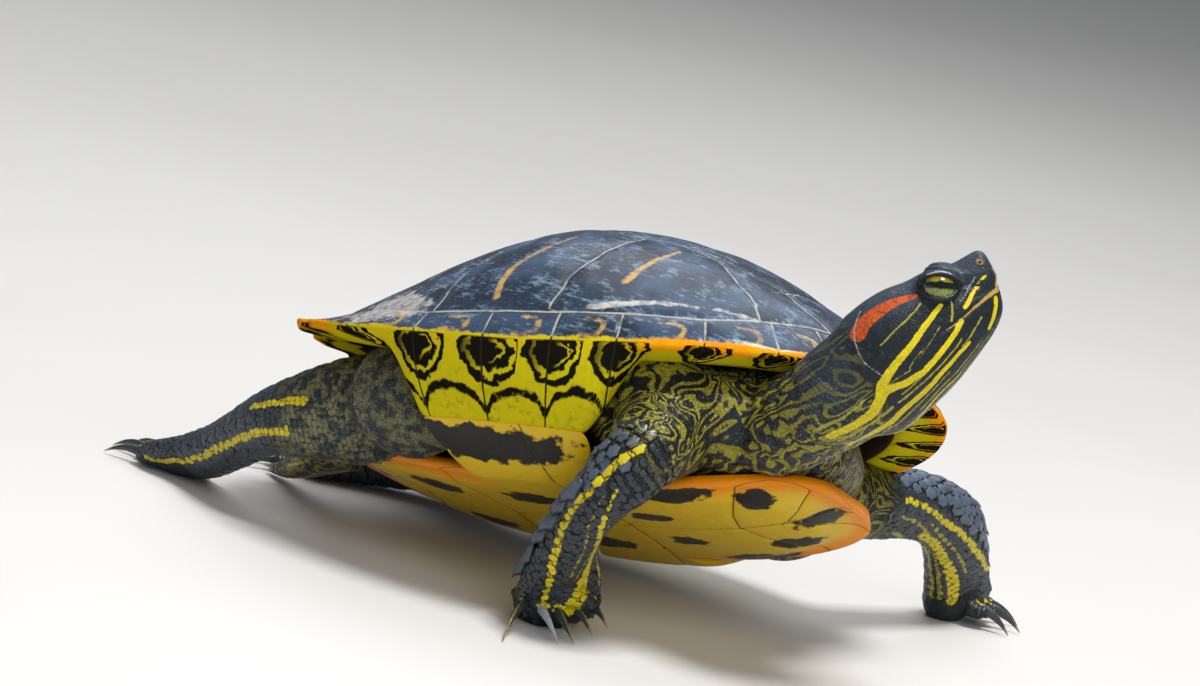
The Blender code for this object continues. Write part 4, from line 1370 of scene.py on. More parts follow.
# Marks of the forelegs, the hind legs and the tail, in the model's axes.
BODY_MARKS: dict[str, tuple[Mark, ...]] = {
    "stripe": (
        (
            1.0, 1.2,
            ((51, -68, 62), (46, -71, 57), (43, -72, 51), (36, -71, 41), (31.5, -69, 31), (28, -64, 20)),
        ),
        (0.4, 1.2, ((48, -71, 50), (45.5, -70, 42), (42, -66, 36), (38, -60, 31))),
        (1.2, 2.3, ((38, -60, 31), (35, -55, 28), (31, -50, 21), (30, -49, 15), (28, -50, 9))),
        (1.0, 0.8, ((28, -64, 20), (25.5, -60, 13), (24, -57.5, 8.5))),
        (0.3, 0.5, ((44, -58, 44), (38, -50, 32), (33, -42, 22), (31, -38, 14))),
        (0.9, 1.1, ((66, 60, 44), (68, 70, 42), (69, 81, 37), (70, 93, 32), (69, 109, 24), (67, 120, 18))),
        (1.5, 1.9, ((64, 76, 33), (65, 80, 31), (65, 90, 26), (65, 102, 17), (63, 110, 8))),
        (0.8, 0.8, ((52, 60, 47), (53, 76, 44), (54, 92, 38), (54, 104, 30), (53, 112, 20))),
        (1.4, 1.1, ((-74, -59, 31), (-84, -58, 28), (-95, -54, 22), (-108, -48, 14))),
        (1.1, 0.7, ((-108, -48, 14), (-118, -44, 8.5), (-127, -41, 5.5), (-137, -38, 4))),
        (1.2, 0.8, ((-70, -56, 41), (-80, -58, 38), (-90, -55, 33))),
        (1.3, 1.0, ((-72, 52, 20), (-84, 52, 16), (-96, 46, 12), (-106, 40, 8))),
        (0.9, 0.4, ((-70, -9, 38), (-84, -9, 33), (-96, -6, 22), (-108, 0, 13), (-118, 5, 6))),
        (0.7, 0.3, ((-72, -17, 30), (-86, -17, 22), (-98, -11, 13), (-110, -3, 7))),
    ),
    "fine": (
        (0.3, 0.45, ((45, -73, 47), (40, -69, 38), (34.5, -62, 27), (31, -57, 17))),
        (0.25, 0.4, ((44, -67, 42), (38.5, -61, 33), (33.5, -56, 24), (31, -53, 17))),
        (0.6, 0.8, ((61, 62, 36), (61, 78, 30), (62, 88, 24), (62, 98, 16), (60, 107, 8))),
        (0.6, 0.7, ((58, 64, 33), (57, 76, 28), (58, 86, 21), (58, 96, 13), (57, 104, 6))),
        (0.5, 0.6, ((67, 76, 37), (67.5, 86, 31), (68, 96, 26), (67, 106, 19))),
        (0.6, 0.4, ((63, 60, 40), (63, 70, 38), (64, 80, 34), (64, 88, 29))),
    ),
}


@dataclass(frozen=True)
class Markings:
    """The lines and patches of the skin, from the tables of marks."""

    toe_start: float = 0.55
    narrowing: float = 0.9

    def lines(self, kind: str) -> list[Line]:
        """All the marks of one kind.

        Args:
            kind: A key of the tables of marks.

        Returns:
            The head's marks on both its sides, the body's, and for the stripes those of the toes.
        """
        made = []
        for start, end, points in HEAD_MARKS[kind]:
            for side in (1, -1):
                row = HEAD_PLACE.out(np.array(points) * (1, side, 1))
                made.append(Line(tuple(map(tuple, row)), start, end))
        made += [Line(points, start, end) for start, end, points in BODY_MARKS.get(kind, ())]
        if kind == "stripe":
            for limb in Limb:
                made += self.toe_lines(limb, 0.75 if limb is Limb.FRONT_RIGHT else 0.7)
        return made

    def toe_lines(self, limb: Limb, half_width: float) -> list[Line]:
        """A stripe along the top of each toe.

        Args:
            limb: The toes' leg.
            half_width: The stripe's half width where it starts.

        Returns:
            One line for each toe.
        """
        over = np.array([0.0, 0.0, TOE_RADIUS[limb.is_front]])
        lines = []
        for base, middle, tip, _ in TOES[limb]:
            first = mixed(np.array(base), np.array(middle), self.toe_start)
            rows = tuple(tuple(np.array(p) + over) for p in (first, middle, tip))
            lines.append(Line(rows, half_width, half_width * self.narrowing))
        return lines


@dataclass
class Skin:
    """One skin over the head, neck, limbs, tail and the trunk where it shows."""

    voxel: float = 0.85
    settle_rounds: int = 7
    marks: Markings = Markings()

    def forms(self) -> Shape:
        """The lofts and rounded masses that make the flesh.

        Returns:
            All of them as one surface.
        """
        shapes = [
            blob((-2, 0, 6), (76, 55, 33), SHELL_PLACE),
            blob((44, -8, -7), (35, 47, 19), SHELL_PLACE),
            blob((-50, 0, -8), (32, 48, 18), SHELL_PLACE),
        ]
        for side in (1, -1):
            shapes.append(blob((36, 44 * side, -9), (20, 15, 19), SHELL_PLACE))
            groin = blob((-43, 43, -9), (19, 15, 15), SHELL_PLACE)
            shapes.append(groin if side > 0 else blob((-41, -44, -12), (22, 16, 18), SHELL_PLACE))
            shapes.append(blob(tuple(EYE_PLACE * (1, side, 1)), (6.6, 5.2, 5.4), HEAD_PLACE))
        shapes.append(blob((-50, 0, 0), (15, 13, 11), HEAD_PLACE))
        shapes += [tube.shape() for tube in TUBES.values()]
        for limb in Limb:
            radius = TOE_RADIUS[limb.is_front]
            for base, middle, tip, _ in TOES[limb]:
                end = tuple(mixed(np.array(middle), np.array(tip), 0.2))
                knuckle, ending = (middle, radius * 0.88, radius * 0.9), (end, radius * 0.7, radius * 0.74)
                shapes.append(Tube(((base, radius, radius), knuckle, ending)).shape(16))
        return joined(shapes)

    def base(self) -> Shape:
        """Grows the masses into one even surface, finer on the head and finest round the eyes.

        Returns:
            The surface.
        """
        obj = scratch_object(self.forms())
        remesh = obj.modifiers.new("one form", "REMESH")
        remesh.mode = "VOXEL"
        remesh.voxel_size = self.voxel * MM
        settle = obj.modifiers.new("soft joins", "SMOOTH")
        settle.factor, settle.iterations = 0.5, self.settle_rounds
        points, faces, _ = mesh_arrays(obj)
        discard(obj)
        shape = self.without_hidden(Shape(points, faces))
        shape = finer(shape, lambda places: HEAD_PLACE.into(places)[:, 0] > -43.0)
        return finer(shape, self.round_eyes)

    def round_eyes(self, places: Points) -> Points:
        """Finds what lies close round the eyes.

        Args:
            places: Places, one a row.

        Returns:
            True for the places that do.
        """
        local = HEAD_PLACE.into(places)
        gap = lengths(np.stack([local[:, 0], np.abs(local[:, 1]), local[:, 2]], 1) - EYE_PLACE)
        return (gap < 8.6) & (np.abs(local[:, 1]) > 5.0)

    def without_hidden(self, shape: Shape) -> Shape:
        """Leaves out what lies deep inside the shell.

        Args:
            shape: The surface.

        Returns:
            The rest of it.
        """
        local = SHELL_PLACE.into(shape.points)
        _, share = SHELL.polar(local)
        deep = (share < 0.62) & (local[:, 2] < 45) & (local[:, 2] > self.belly_top(local) - 1.0)
        deep &= local[:, 2] > -30
        faces = [f for f in shape.faces if not all(deep[i] for i in f)]
        used = np.zeros(len(shape.points), dtype=bool)
        used[np.concatenate([np.array(f) for f in faces])] = True
        renumbered = np.cumsum(used) - 1
        return Shape(shape.points[used], [tuple(int(renumbered[i]) for i in f) for f in faces])

    def belly_top(self, local: Points) -> Points:
        """The inner face of the lower shell.

        Args:
            local: Places in the shell's axes.

        Returns:
            Its height under each place, very low beside the lower shell.
        """
        edge_turns = np.linspace(-math.pi, math.pi, 721)
        edge = SHELL.plastron_edge(edge_turns)
        seen = np.maximum.accumulate(np.arctan2(edge[:, 1], edge[:, 0] + 1e-9))
        turn = np.interp(np.arctan2(local[:, 1], local[:, 0]), seen, edge_turns)
        share = lengths(local[:, :2]) / np.maximum(lengths(SHELL.plastron_edge(turn)[:, :2]), 1e-6)
        top = SHELL.plastron(turn, np.clip(share, 0, 1))[:, 2] + 4.6
        return np.where(share < 1.0, top, -200.0)

    def tucked(self, points: Points) -> Points:
        """Keeps the skin clear of the shell, and on or over the floor.

        Args:
            points: Places, one a row.

        Returns:
            The moved places.
        """
        local = SHELL_PLACE.into(points)
        angle, share = SHELL.polar(local)
        inside = np.clip(share, 0.0, 1.0)
        under_dome = SHELL.dome_height(angle, inside) - SHELL.wall * 1.2 - 0.8
        under_lip = SHELL.lip(angle)[:, 2] - 0.5
        ceiling = mixed(under_dome, under_lip, smooth(share, 0.78, 0.86))
        capped = np.minimum(local[:, 2], ceiling)
        local[:, 2] = np.where(share < 1.012, capped, local[:, 2])
        walled = (SHELL.on_bridge(angle) > 0.3) & (share > 0.78) & (share < 1.0) & (local[:, 2] > -26)
        drawn_in = local[:, :2] * (0.78 / np.maximum(share, 0.1))[:, None]
        local[:, :2] = np.where(walled[:, None], drawn_in, local[:, :2])
        top = self.belly_top(local)
        low = (local[:, 2] < top) & (local[:, 2] > top - 9)
        local[:, 2] = np.where(low, top, local[:, 2])
        made = SHELL_PLACE.out(local)
        made[:, 2] = np.maximum(made[:, 2], 0.0)
        return made

    def folds(self, points: Points, ways: Points) -> Points:
        """Presses wrinkles into the neck and into the limbs' joints.

        Args:
            points: Places, one a row.
            ways: The outward way at each place.

        Returns:
            The moved places.
        """
        along, turn, reach = TUBES["neck"].coordinates(points)
        local = HEAD_PLACE.into(points)
        neck = smooth(reach, 1.35, 1.1) * smooth(local[:, 0], HEAD_END, NECK_START)
        bend = along + 1.8 * np.sin(turn * 2 + along * 0.11) + 2.2 * layered_noise(points, 13.0, 5)
        depth = neck * smooth(along, 3, 16) * 0.75 * (0.5 - 0.5 * np.cos(bend * 1.25)) ** 2
        depth += neck * 0.35 * layered_noise(points, 6.0, 8)
        for limb in Limb:
            along, turn, reach = TUBES[limb.value].coordinates(points)
            near = smooth(reach, 1.4, 1.15)
            crease = 0.5 - 0.5 * np.cos((along + 1.5 * value_noise(points, 9.0, 11)) * 1.15)
            depth += near * 0.22 * crease**3 + near * 0.25 * layered_noise(points, 7.0, 9)
        return points - ways * depth[:, None]

    def values(self, points: Points, regions: Points, surface: KDTree) -> dict[str, Points]:
        """The values that the finish reads, for places on the skin.

        Args:
            points: Places on the skin.
            regions: The number of each place's tube in REGIONS.
            surface: The skin's own points, for the marks to lie on.

        Returns:
            Distances outside each kind of mark in millimetres, and shares from 0 to 1.
        """
        local = HEAD_PLACE.into(points)
        on_head = smooth(local[:, 0], NECK_START, HEAD_END)
        crown = smooth(local[:, 2], 4.0, 12.0) * on_head
        half = np.stack([local[:, 0], np.abs(local[:, 1]), local[:, 2]], 1)
        reach, _, _ = HeadSculpt().opening(half - EYE_PLACE)
        legs = np.isin(regions, [REGIONS.index(limb.value) for limb in Limb])
        outer = SHELL_PLACE.into(points)
        hind = (outer[:, 0] < -20) & (regions != REGIONS.index("tail"))
        # The blue-grey share is painted sky sheen: most on the crown and the top of the neck, some on the
        # legs.
        slate_sheen = np.maximum(0.2 + 0.8 * crown, np.where(legs, np.where(hind, 0.4, 0.12), 0.0))
        shoulder = np.zeros(len(points))
        for limb in (Limb.FRONT_RIGHT, Limb.FRONT_LEFT):
            along, _, _ = TUBES[limb.value].coordinates(points)
            shoulder = np.where(regions == REGIONS.index(limb.value), smooth(along, 33, 24), shoulder)
        swirl = np.maximum(np.where(legs | hind, 0.0, 1.0), shoulder) * (1 - on_head)
        slate_sheen *= 1 - 0.7 * shoulder
        nape = smooth(local[:, 0], -74, -50) * smooth(local[:, 2], -14, -2) * (1 - on_head)
        swirl *= 1 - 0.8 * nape
        slate_sheen = np.maximum(slate_sheen, 0.5 * nape)
        return {
            **{kind: nearest_line(self.marks.lines(kind), points, surface) for kind in HEAD_MARKS},
            "slate_sheen": slate_sheen,
            "swirl": swirl,
            "mottle": np.where(hind, smooth(outer[:, 0], -92, -74), 0.0),
            "rough": np.where(legs, 0.9, 0.45) * (1.0 - 0.4 * smooth(local[:, 0], -44, -30)),
            "tone": np.zeros(len(points)),
            # Near black: painted shade in the nostril holes, and the dark rims of the lids round the eyes.
            "edge": np.maximum(smooth(nostril_gap(half), 1.0, 0.5), 0.95 * smooth(reach, 1.55, 1.1)),
        }

    def regions(self, points: Points) -> Points:
        """The number in REGIONS of the tube that each place belongs to."""
        return np.stack([TUBES[name].coordinates(points)[2] for name in REGIONS], 1).argmin(1)

    def build(self, finish: bpy.types.Material) -> Shape:
        """Makes the skin.

        Args:
            finish: Its material.

        Returns:
            Its surface, for the scales to lie on.
        """
        shape = self.base()
        local = HEAD_PLACE.into(shape.points)
        nape = smooth(local[:, 0], -37, -43) * smooth(local[:, 0], -72, -60)
        nape *= smooth(lengths(local[:, 1:] + (0, 2)), 30, 23)
        shape = Shape(relaxed(shape, nape, 160), shape.faces)
        obj = scratch_object(shape)
        _, _, ways = mesh_arrays(obj)
        discard(obj)
        points = HeadSculpt().shaped(self.folds(shape.points, ways))
        points = self.tucked(points)
        values = self.values(points, self.regions(points), tree_of(points))
        shape = Shape(points, shape.faces, values)
        flesh = ["head", "lower_jaw", "neck", "tail", "trunk"]
        flesh += [f"{limb.value}_{part}" for limb in Limb for part in ("upper_leg", "lower_leg", "foot")]
        shape.build("skin", finish, *flesh)
        return shape


def nostril_gap(half: Points) -> Points:
    """The distance from the middle of the nostril, laid on the surface.

    Args:
        half: Places in the head's axes, those of the right side mirrored to the left.

    Returns:
        Millimetres for each place.
    """
    gap = lengths(half - NOSTRIL)
    nearest = int(gap.argmin())
    return gap if gap[nearest] > 1.5 else lengths(half - half[nearest])


@dataclass(frozen=True)
class HeadSculpt:
    """The relief of the head, worked in its own axes with both sides alike."""

    eye_way: Point = (0.18, 0.98, 0.07)
    ball: float = 5.1
    half_opening: tuple[float, float] = (5.35, 2.75)
    lid_radius: float = 5.7
    socket_radius: float = 4.2

    def eye_axes(self) -> tuple[Points, Points, Points]:
        """The axes of the eye.

        Returns:
            The ways out of it, along its opening and up across it.
        """
        out = units(np.array([self.eye_way]))[0]
        level = np.array([0.86, 0.0, -0.5])
        along = units((level - out * (level @ out))[None])[0]
        return out, along, np.cross(along, out)

    def opening(self, offset: Points) -> tuple[Points, Points, Points]:
        """How far places lie round the eye's opening.

        Args:
            offset: Places from the middle of the left eye, in the head's axes.

        Returns:
            The reach from the middle of the opening, 1 at its edge; millimetres along it; and up.
        """
        out, along, up = self.eye_axes()
        s, t = offset @ along, offset @ up
        wide, high = self.half_opening
        reach = np.hypot(s / wide, t / np.where(t > 0, high * 0.92, high * 1.08))
        return np.where(offset @ out > 0, reach, 9.0), s, t

    def shaped(self, points: Points) -> Points:
        """Gives the head its sockets, lids, nostrils, mouth and folds.

        Args:
            points: Places, one a row.

        Returns:
            The moved places.
        """
        local = HEAD_PLACE.into(points)
        side = np.where(local[:, 1] < 0, -1.0, 1.0)
        half = local * np.stack([np.ones_like(side), side, np.ones_like(side)], 1)
        half[:, 0] += 1.1 * smooth(half[:, 0], -5.0, -1.5) * smooth(half[:, 2], 1.5, 4.5)
        half = self.lids(half)
        half = self.nostrils(half)
        half = self.mouth(half)
        half[:, 1] *= side
        return np.where((local[:, 0] > NECK_START)[:, None], HEAD_PLACE.out(half), points)

    def lids(self, half: Points) -> Points:
        """Opens the sockets and raises the lids and the folds round them.

        Args:
            half: Places in the head's axes, those of the right side mirrored to the left.

        Returns:
            The moved places.
        """
        offset = half - EYE_PLACE
        reach, _, up = self.opening(offset)
        radius = lengths(offset)
        way = offset / np.maximum(radius, 1e-6)[:, None]
        upper = smooth(up, -0.8, 1.2)
        rim = self.lid_radius + 0.55 * upper + 0.32 * np.exp(-(((reach - 1.2) / 0.15) ** 2))
        rim -= 0.42 * np.exp(-(((reach - 1.56) / 0.12) ** 2))
        rim += 0.26 * np.exp(-(((reach - 1.86) / 0.16) ** 2))
        rim -= 0.2 * np.exp(-(((reach - 2.2) / 0.14) ** 2))
        lid = mixed(radius, rim, smooth(reach, mixed(2.15, 2.7, upper), mixed(1.35, 1.6, upper)))
        socket = mixed(self.socket_radius, lid, smooth(reach, 0.93, 1.08))
        wanted = np.where(reach < 2.6, socket, radius)
        return EYE_PLACE + way * wanted[:, None]

    def nostrils(self, half: Points) -> Points:
        """Makes a round hole with a raised ring on each side of the snout's front.

        Args:
            half: Places in the head's axes, those of the right side mirrored to the left.

        Returns:
            The moved places.
        """
        gap = nostril_gap(half)
        inward = units(np.array([[-0.55, -0.83, -0.05]]))[0]
        depth = 1.4 * smooth(gap, 0.75, 0.3) - 0.3 * np.exp(-(((gap - 1.0) / 0.3) ** 2))
        return half + inward * depth[:, None]

    def mouth(self, half: Points) -> Points:
        """Draws the line where the jaws meet, the upper one standing a little proud.

        Args:
            half: Places in the head's axes, those of the right side mirrored to the left.

        Returns:
            The moved places.
        """
        jaws = ((-0.6, 0, 0.2), (-1.4, 3.2, 0), (-7, 7.6, -0.6), (-12, 9.6, -2), (-19, 12, -2.6))
        line = Line(jaws, 0, 0)
        gap = line.distance(half)
        above = smooth(half[:, 2] + 0.9, -0.6, 0.8)
        depth = 0.5 * np.exp(-((gap / 0.45) ** 2)) - 0.22 * above * np.exp(-(((gap - 0.9) / 0.7) ** 2))
        ways = units(np.stack([np.full(len(half), 0.15), half[:, 1], half[:, 2] * 0.2], 1))
        return half - ways * depth[:, None]


# Scales: thin solid plates over the skin, each rooted at its near end and lying along the body.


TOE_TUBES: dict[str, Tube] = {
    f"{limb.value}_toe_{number}": Tube(
        tuple((p, TOE_RADIUS[limb.is_front], TOE_RADIUS[limb.is_front]) for p in toe[:3])
    )
    for limb in Limb for number, toe in enumerate(TOES[limb], 1)
}
ALL_TUBES = TUBES | TOE_TUBES
ROW_STEP = 0.64  # from one row of scales to the next, as a share of a scale's length
SCALE_STEP = 0.84  # from one scale of a row to the next, as a share of a scale's width
SMALL_SCALE = 3.5  # scales longer than this are plates and sit in order, the others stray


@dataclass(frozen=True)
class ScaleField:
    """Rows of like scales over part of a tube."""

    tube: str
    along: tuple[float, float]
    turn: tuple[tuple[float, float, float], ...]  # rows of along, and the lowest and highest turn in degrees
    length: float
    width: float
    thickness: float = 0.22
    lift: float = 0.25
    keel: float = 0.0
    sides: int = 8

    def spots(self) -> Points:
        """The scales' places on the tube.

        Returns:
            Millimetres along the tube and the turn round it, one row for each scale.
        """
        rows = ALL_TUBES[self.tube].line()
        travelled = lengths_along(rows)
        edges = np.array(self.turn, float)
        made = []
        steps = np.arange(self.along[0], self.along[1], self.length * ROW_STEP)
        for number, along in enumerate(steps):
            radius = float(np.interp(along, travelled, rows[:, 3:].mean(1)))
            low, high = (math.radians(np.interp(along, edges[:, 0], edges[:, i])) for i in (1, 2))
            count = max(1, round((high - low) * radius / (self.width * SCALE_STEP)))
            shares = (np.arange(count) + 0.25 + 0.5 * (number % 2)) / count if count > 1 else np.array([0.5])
            spread = np.stack([shares * 37, shares + along * 3.1, shares + number], 1)
            onward, aside = (0.16, 0.1) if self.length > SMALL_SCALE else (0.3, 0.26)
            onward = onward * self.length * value_noise(spread, 0.7, 5)
            aside = aside * self.width / radius * value_noise(spread, 0.6, 8)
            made += zip(along + onward, low + (high - low) * shares + aside)
        return np.array(made)


@dataclass
class ScaleCoat:
    """The scales of one part of the body, as one piece."""

    skin: Skin
    surface: BVHTree
    tree: KDTree
    sunk: float = 0.1

    def roots(self, scales: ScaleField) -> tuple[Points, Points, Points, Points]:
        """Where a field's scales sit on the skin.

        Args:
            scales: The field.

        Returns:
            The roots, the outward ways, the ways ahead along the body, and for each root its place in the
            unwrap and its distance from the tube's middle.
        """
        tube = ALL_TUBES[scales.tube]
        rows = tube.line()
        ahead, side, over = tube.axes(rows)
        travelled = lengths_along(rows)
        number = list(ALL_TUBES).index(scales.tube)
        corner = np.array([number % 5, number // 5]) * 0.2 + 0.01
        found: list[tuple[Point, Point, Point, Point]] = []
        for along, turn in scales.spots():
            centre, forward, aside, above = (
                np.array([np.interp(along, travelled, table[:, axis]) for axis in range(3)])
                for table in (rows, ahead, side, over)
            )
            way = math.cos(turn) * aside + math.sin(turn) * above
            hit, normal, _, away = self.surface.ray_cast(Vector(centre), Vector(way), 30.0)
            reach = float(np.interp(along, travelled, rows[:, 3:].max(1)))
            if hit is None or away > reach * 1.5 or normal.dot(Vector(way)) < 0.25:
                continue
            share = (turn / (2 * math.pi) + 0.5) % 1.0
            spot = corner + np.array([along / travelled[-1], share]) * 0.17
            found.append((tuple(hit), tuple(normal), tuple(forward), (*spot, away)))
        columns = [np.array(column) for column in zip(*found)] or [np.zeros((0, 3))] * 4
        keep = self.shown(columns[0])
        return tuple(column[keep] for column in columns)

    def shown(self, roots: Points) -> Points:
        """Picks the roots that lie outside the shell and clear of the floor.

        Args:
            roots: The roots.

        Returns:
            True for those that do.
        """
        local = SHELL_PLACE.into(roots)
        angle, share = SHELL.polar(local)
        ceiling = SHELL.lip(angle)[:, 2] - 0.6
        inside = (share < 0.80) & (local[:, 2] > ceiling - 4) | (share < 1.02) & (local[:, 2] > ceiling)
        buried = local[:, 2] < self.skin.belly_top(local) + 0.8
        return ~inside & ~(buried & (local[:, 2] > -42)) & (roots[:, 2] > 0.9)

    def plates(self, scales: ScaleField) -> Shape:
        """All the scales of a field as closed plates.

        Args:
            scales: The field.

        Returns:
            The plates with their values and their unwrap.
        """
        roots, ways, ahead, spots = self.roots(scales)
        count, n = len(roots), scales.sides
        if not count:
            return Shape(roots, [])
        jitter = value_noise(roots, 0.9, 21)
        along = units(ahead - ways * (ahead * ways).sum(1)[:, None] + 1e-9)
        aside = np.cross(ways, along)
        swing = 0.10 * jitter[:, None]
        along, aside = along + aside * swing, aside - along * swing
        turn = np.arange(n) * 2 * math.pi / n
        corner = np.abs((turn / (math.pi / 3) + 0.5) % 1.0 - 0.5)
        reach = (0.9 + 0.5 * corner) * np.where(n > 8, 1.04, 1.0)
        rim = np.stack([reach * np.cos(turn) * scales.length / 2, reach * np.sin(turn) * scales.width / 2], 1)
        flat = np.concatenate([np.zeros((1, 2)), rim * 0.72, rim, np.zeros((1, 2))])
        crest = scales.keel * np.exp(-((flat[:, 1] / (0.22 * scales.width)) ** 2))
        rise = scales.lift * (flat[:, 0] / scales.length + 0.35)
        height = np.concatenate([[1.0], np.full(n, 0.9), np.full(n, 0.25), [-0.9]]) * scales.thickness
        height[:-1] += crest[:-1]
        bend = 0.5 / np.maximum(spots[:, 2], 2.0)
        height = (height + rise - self.sunk)[None] - bend[:, None] * flat[None, :, 1] ** 2
        size = (1 + 0.08 * jitter)[:, None, None]
        points = roots[:, None] + size * (
            along[:, None] * flat[None, :, :1] + aside[:, None] * flat[None, :, 1:]
        ) + ways[:, None] * height[..., None]
        points[..., 2] = np.maximum(points[..., 2], 0.02)
        ring = np.arange(n)
        after = (ring + 1) % n
        fan = [(0, 1 + a, 1 + b) for a, b in zip(ring, after)]
        fan += [(1 + a, 1 + n + a, 1 + n + b, 1 + b) for a, b in zip(ring, after)]
        fan += [(1 + n + b, 1 + n + a, 2 * n + 1) for a, b in zip(ring, after)]
        size_each = 2 * n + 2
        faces = [tuple(i + start for i in f) for start in range(0, count * size_each, size_each) for f in fan]
        near = (roots[:, None] + 0.6 * (points - roots[:, None])).reshape(-1, 3)
        values = self.skin.values(near, np.repeat(self.skin.regions(roots), size_each), self.tree)
        values["tone"] = np.repeat(0.22 + 0.28 * jitter, size_each)
        # The plates' outer rims and undersides go near black: painted shade under the plates.
        values["edge"] = np.tile(np.concatenate([[0.0], np.full(n, 0.66), np.ones(n + 1)]), count)
        # Thick plates get the blue-grey painted sky sheen, less where the skin is mottled or swirled.
        plate_sky_sheen = float(np.clip(scales.thickness * 6 - 1.5, 0, 1))
        plate_sky_sheen = plate_sky_sheen * (1 - values["mottle"]) * (1 - values["swirl"])
        values["slate_sheen"] = np.maximum(values["slate_sheen"] * np.where(values["mottle"] > 0.1, 0.4, 1.0), plate_sky_sheen)
        values["rough"] = np.full(count * size_each, 0.15)
        patch = flat / np.array([scales.length, scales.width]) * 0.003
        uv = (spots[:, None, :2] + patch[None]).reshape(-1, 2)
        return Shape(points.reshape(-1, 3), faces, values, uv)

    def build(self, name: str, fields: Sequence[ScaleField], finish: bpy.types.Material) -> None:
        """Makes one piece of scales from several fields."""
        shapes = [shape for shape in map(self.plates, fields) if shape.faces]
        joined(shapes).build(name, finish)


def leg_fields(limb: Limb) -> list[ScaleField]:
    """The scales of one leg: broad plates outside, a keeled row on the edge, small ones elsewhere.

    Args:
        limb: The leg.

    Returns:
        The fields of its coat.
    """
    name = limb.value
    if limb is Limb.FRONT_RIGHT:
        plates = ((27, 84, 200), (31, 55, 170), (35, 5, 128), (38, -30, 90), (42, -46, 40), (50, -66, 12))
        small = ((27, -60, 82), (31, -90, 53), (35, -130, 3), (38, -160, -32), (42, -190, -48))
        small += ((50, -225, -36), (88, -270, -80))
        fields = [
            ScaleField(name, (27, 50), plates, 4.5, 3.7, 0.42, 0.3, sides=12),
            ScaleField(name, (45, 83), ((45, -36, -6), (83, -80, -50)), 10.0, 7.6, 0.5, 1.9, 0.9, 12),
            ScaleField(name, (27, 88), small, 2.6, 3.0, 0.25, 0.3),
            ScaleField(name, (49, 88), ((49, -6, 140), (88, -50, 92)), 2.7, 3.0, 0.24, 0.3),
            ScaleField(name, (87, 96), ((0, -180, 180),), 2.0, 2.3, 0.18, 0.2),
        ]
    elif limb is Limb.FRONT_LEFT:
        stripe = ((32, 120), (45, 133), (56, 149), (69, 160), (85, 132), (97, 110))
        plates = tuple((along, 60 + along / 3, turn) for along, turn in stripe)
        small = tuple((along, turn + 6, 250) for along, turn in stripe)
        fields = [
            ScaleField(name, (32, 97), plates, 4.6, 4.0, 0.42, 0.4, sides=12),
            ScaleField(name, (30, 98), small, 2.6, 2.8, 0.22, 0.28),
            ScaleField(name, (30, 98), ((30, -110, 60), (96, -95, 95)), 2.6, 2.8, 0.22, 0.28),
            ScaleField(name, (98, 111), ((0, -90, 160),), 2.0, 2.2, 0.18, 0.2),
        ]
    else:
        fields = [
            ScaleField(name, (8, 60), ((0, -180, 180),), 2.2, 2.3, 0.15, 0.16),
            ScaleField(name, (60, 92), ((0, -180, 180),), 2.6, 2.8, 0.22, 0.28),
            ScaleField(name, (92, 111), ((0, -20, 200),), 1.8, 2.0, 0.16, 0.2),
        ]
    toes = [title for title in TOE_TUBES if title.startswith(name + "_toe")]
    return fields + [ScaleField(title, (0.5, 7.5), ((0, 15, 165),), 1.7, 3.0, 0.2, 0.22) for title in toes]


def body_fields() -> dict[str, list[ScaleField]]:
    """The small scales of the tail, the neck and the back of the head.

    Returns:
        The fields of each coat, by its name.
    """
    around = ((0, -180, 180),)
    return {
        "tail_scales": [ScaleField("tail", (8, 62), around, 2.0, 2.1, 0.18, 0.2)],
        "neck_scales": [ScaleField("neck", (2, 46), around, 1.6, 1.6, 0.1, 0.1, sides=6)],
        "head_scales": [ScaleField("head", (30, 46), around, 1.0, 1.0, 0.06, 0.05, sides=6)],
    }


# Finishes.


Socket = bpy.types.NodeSocket
Feed = Socket | float | Colour


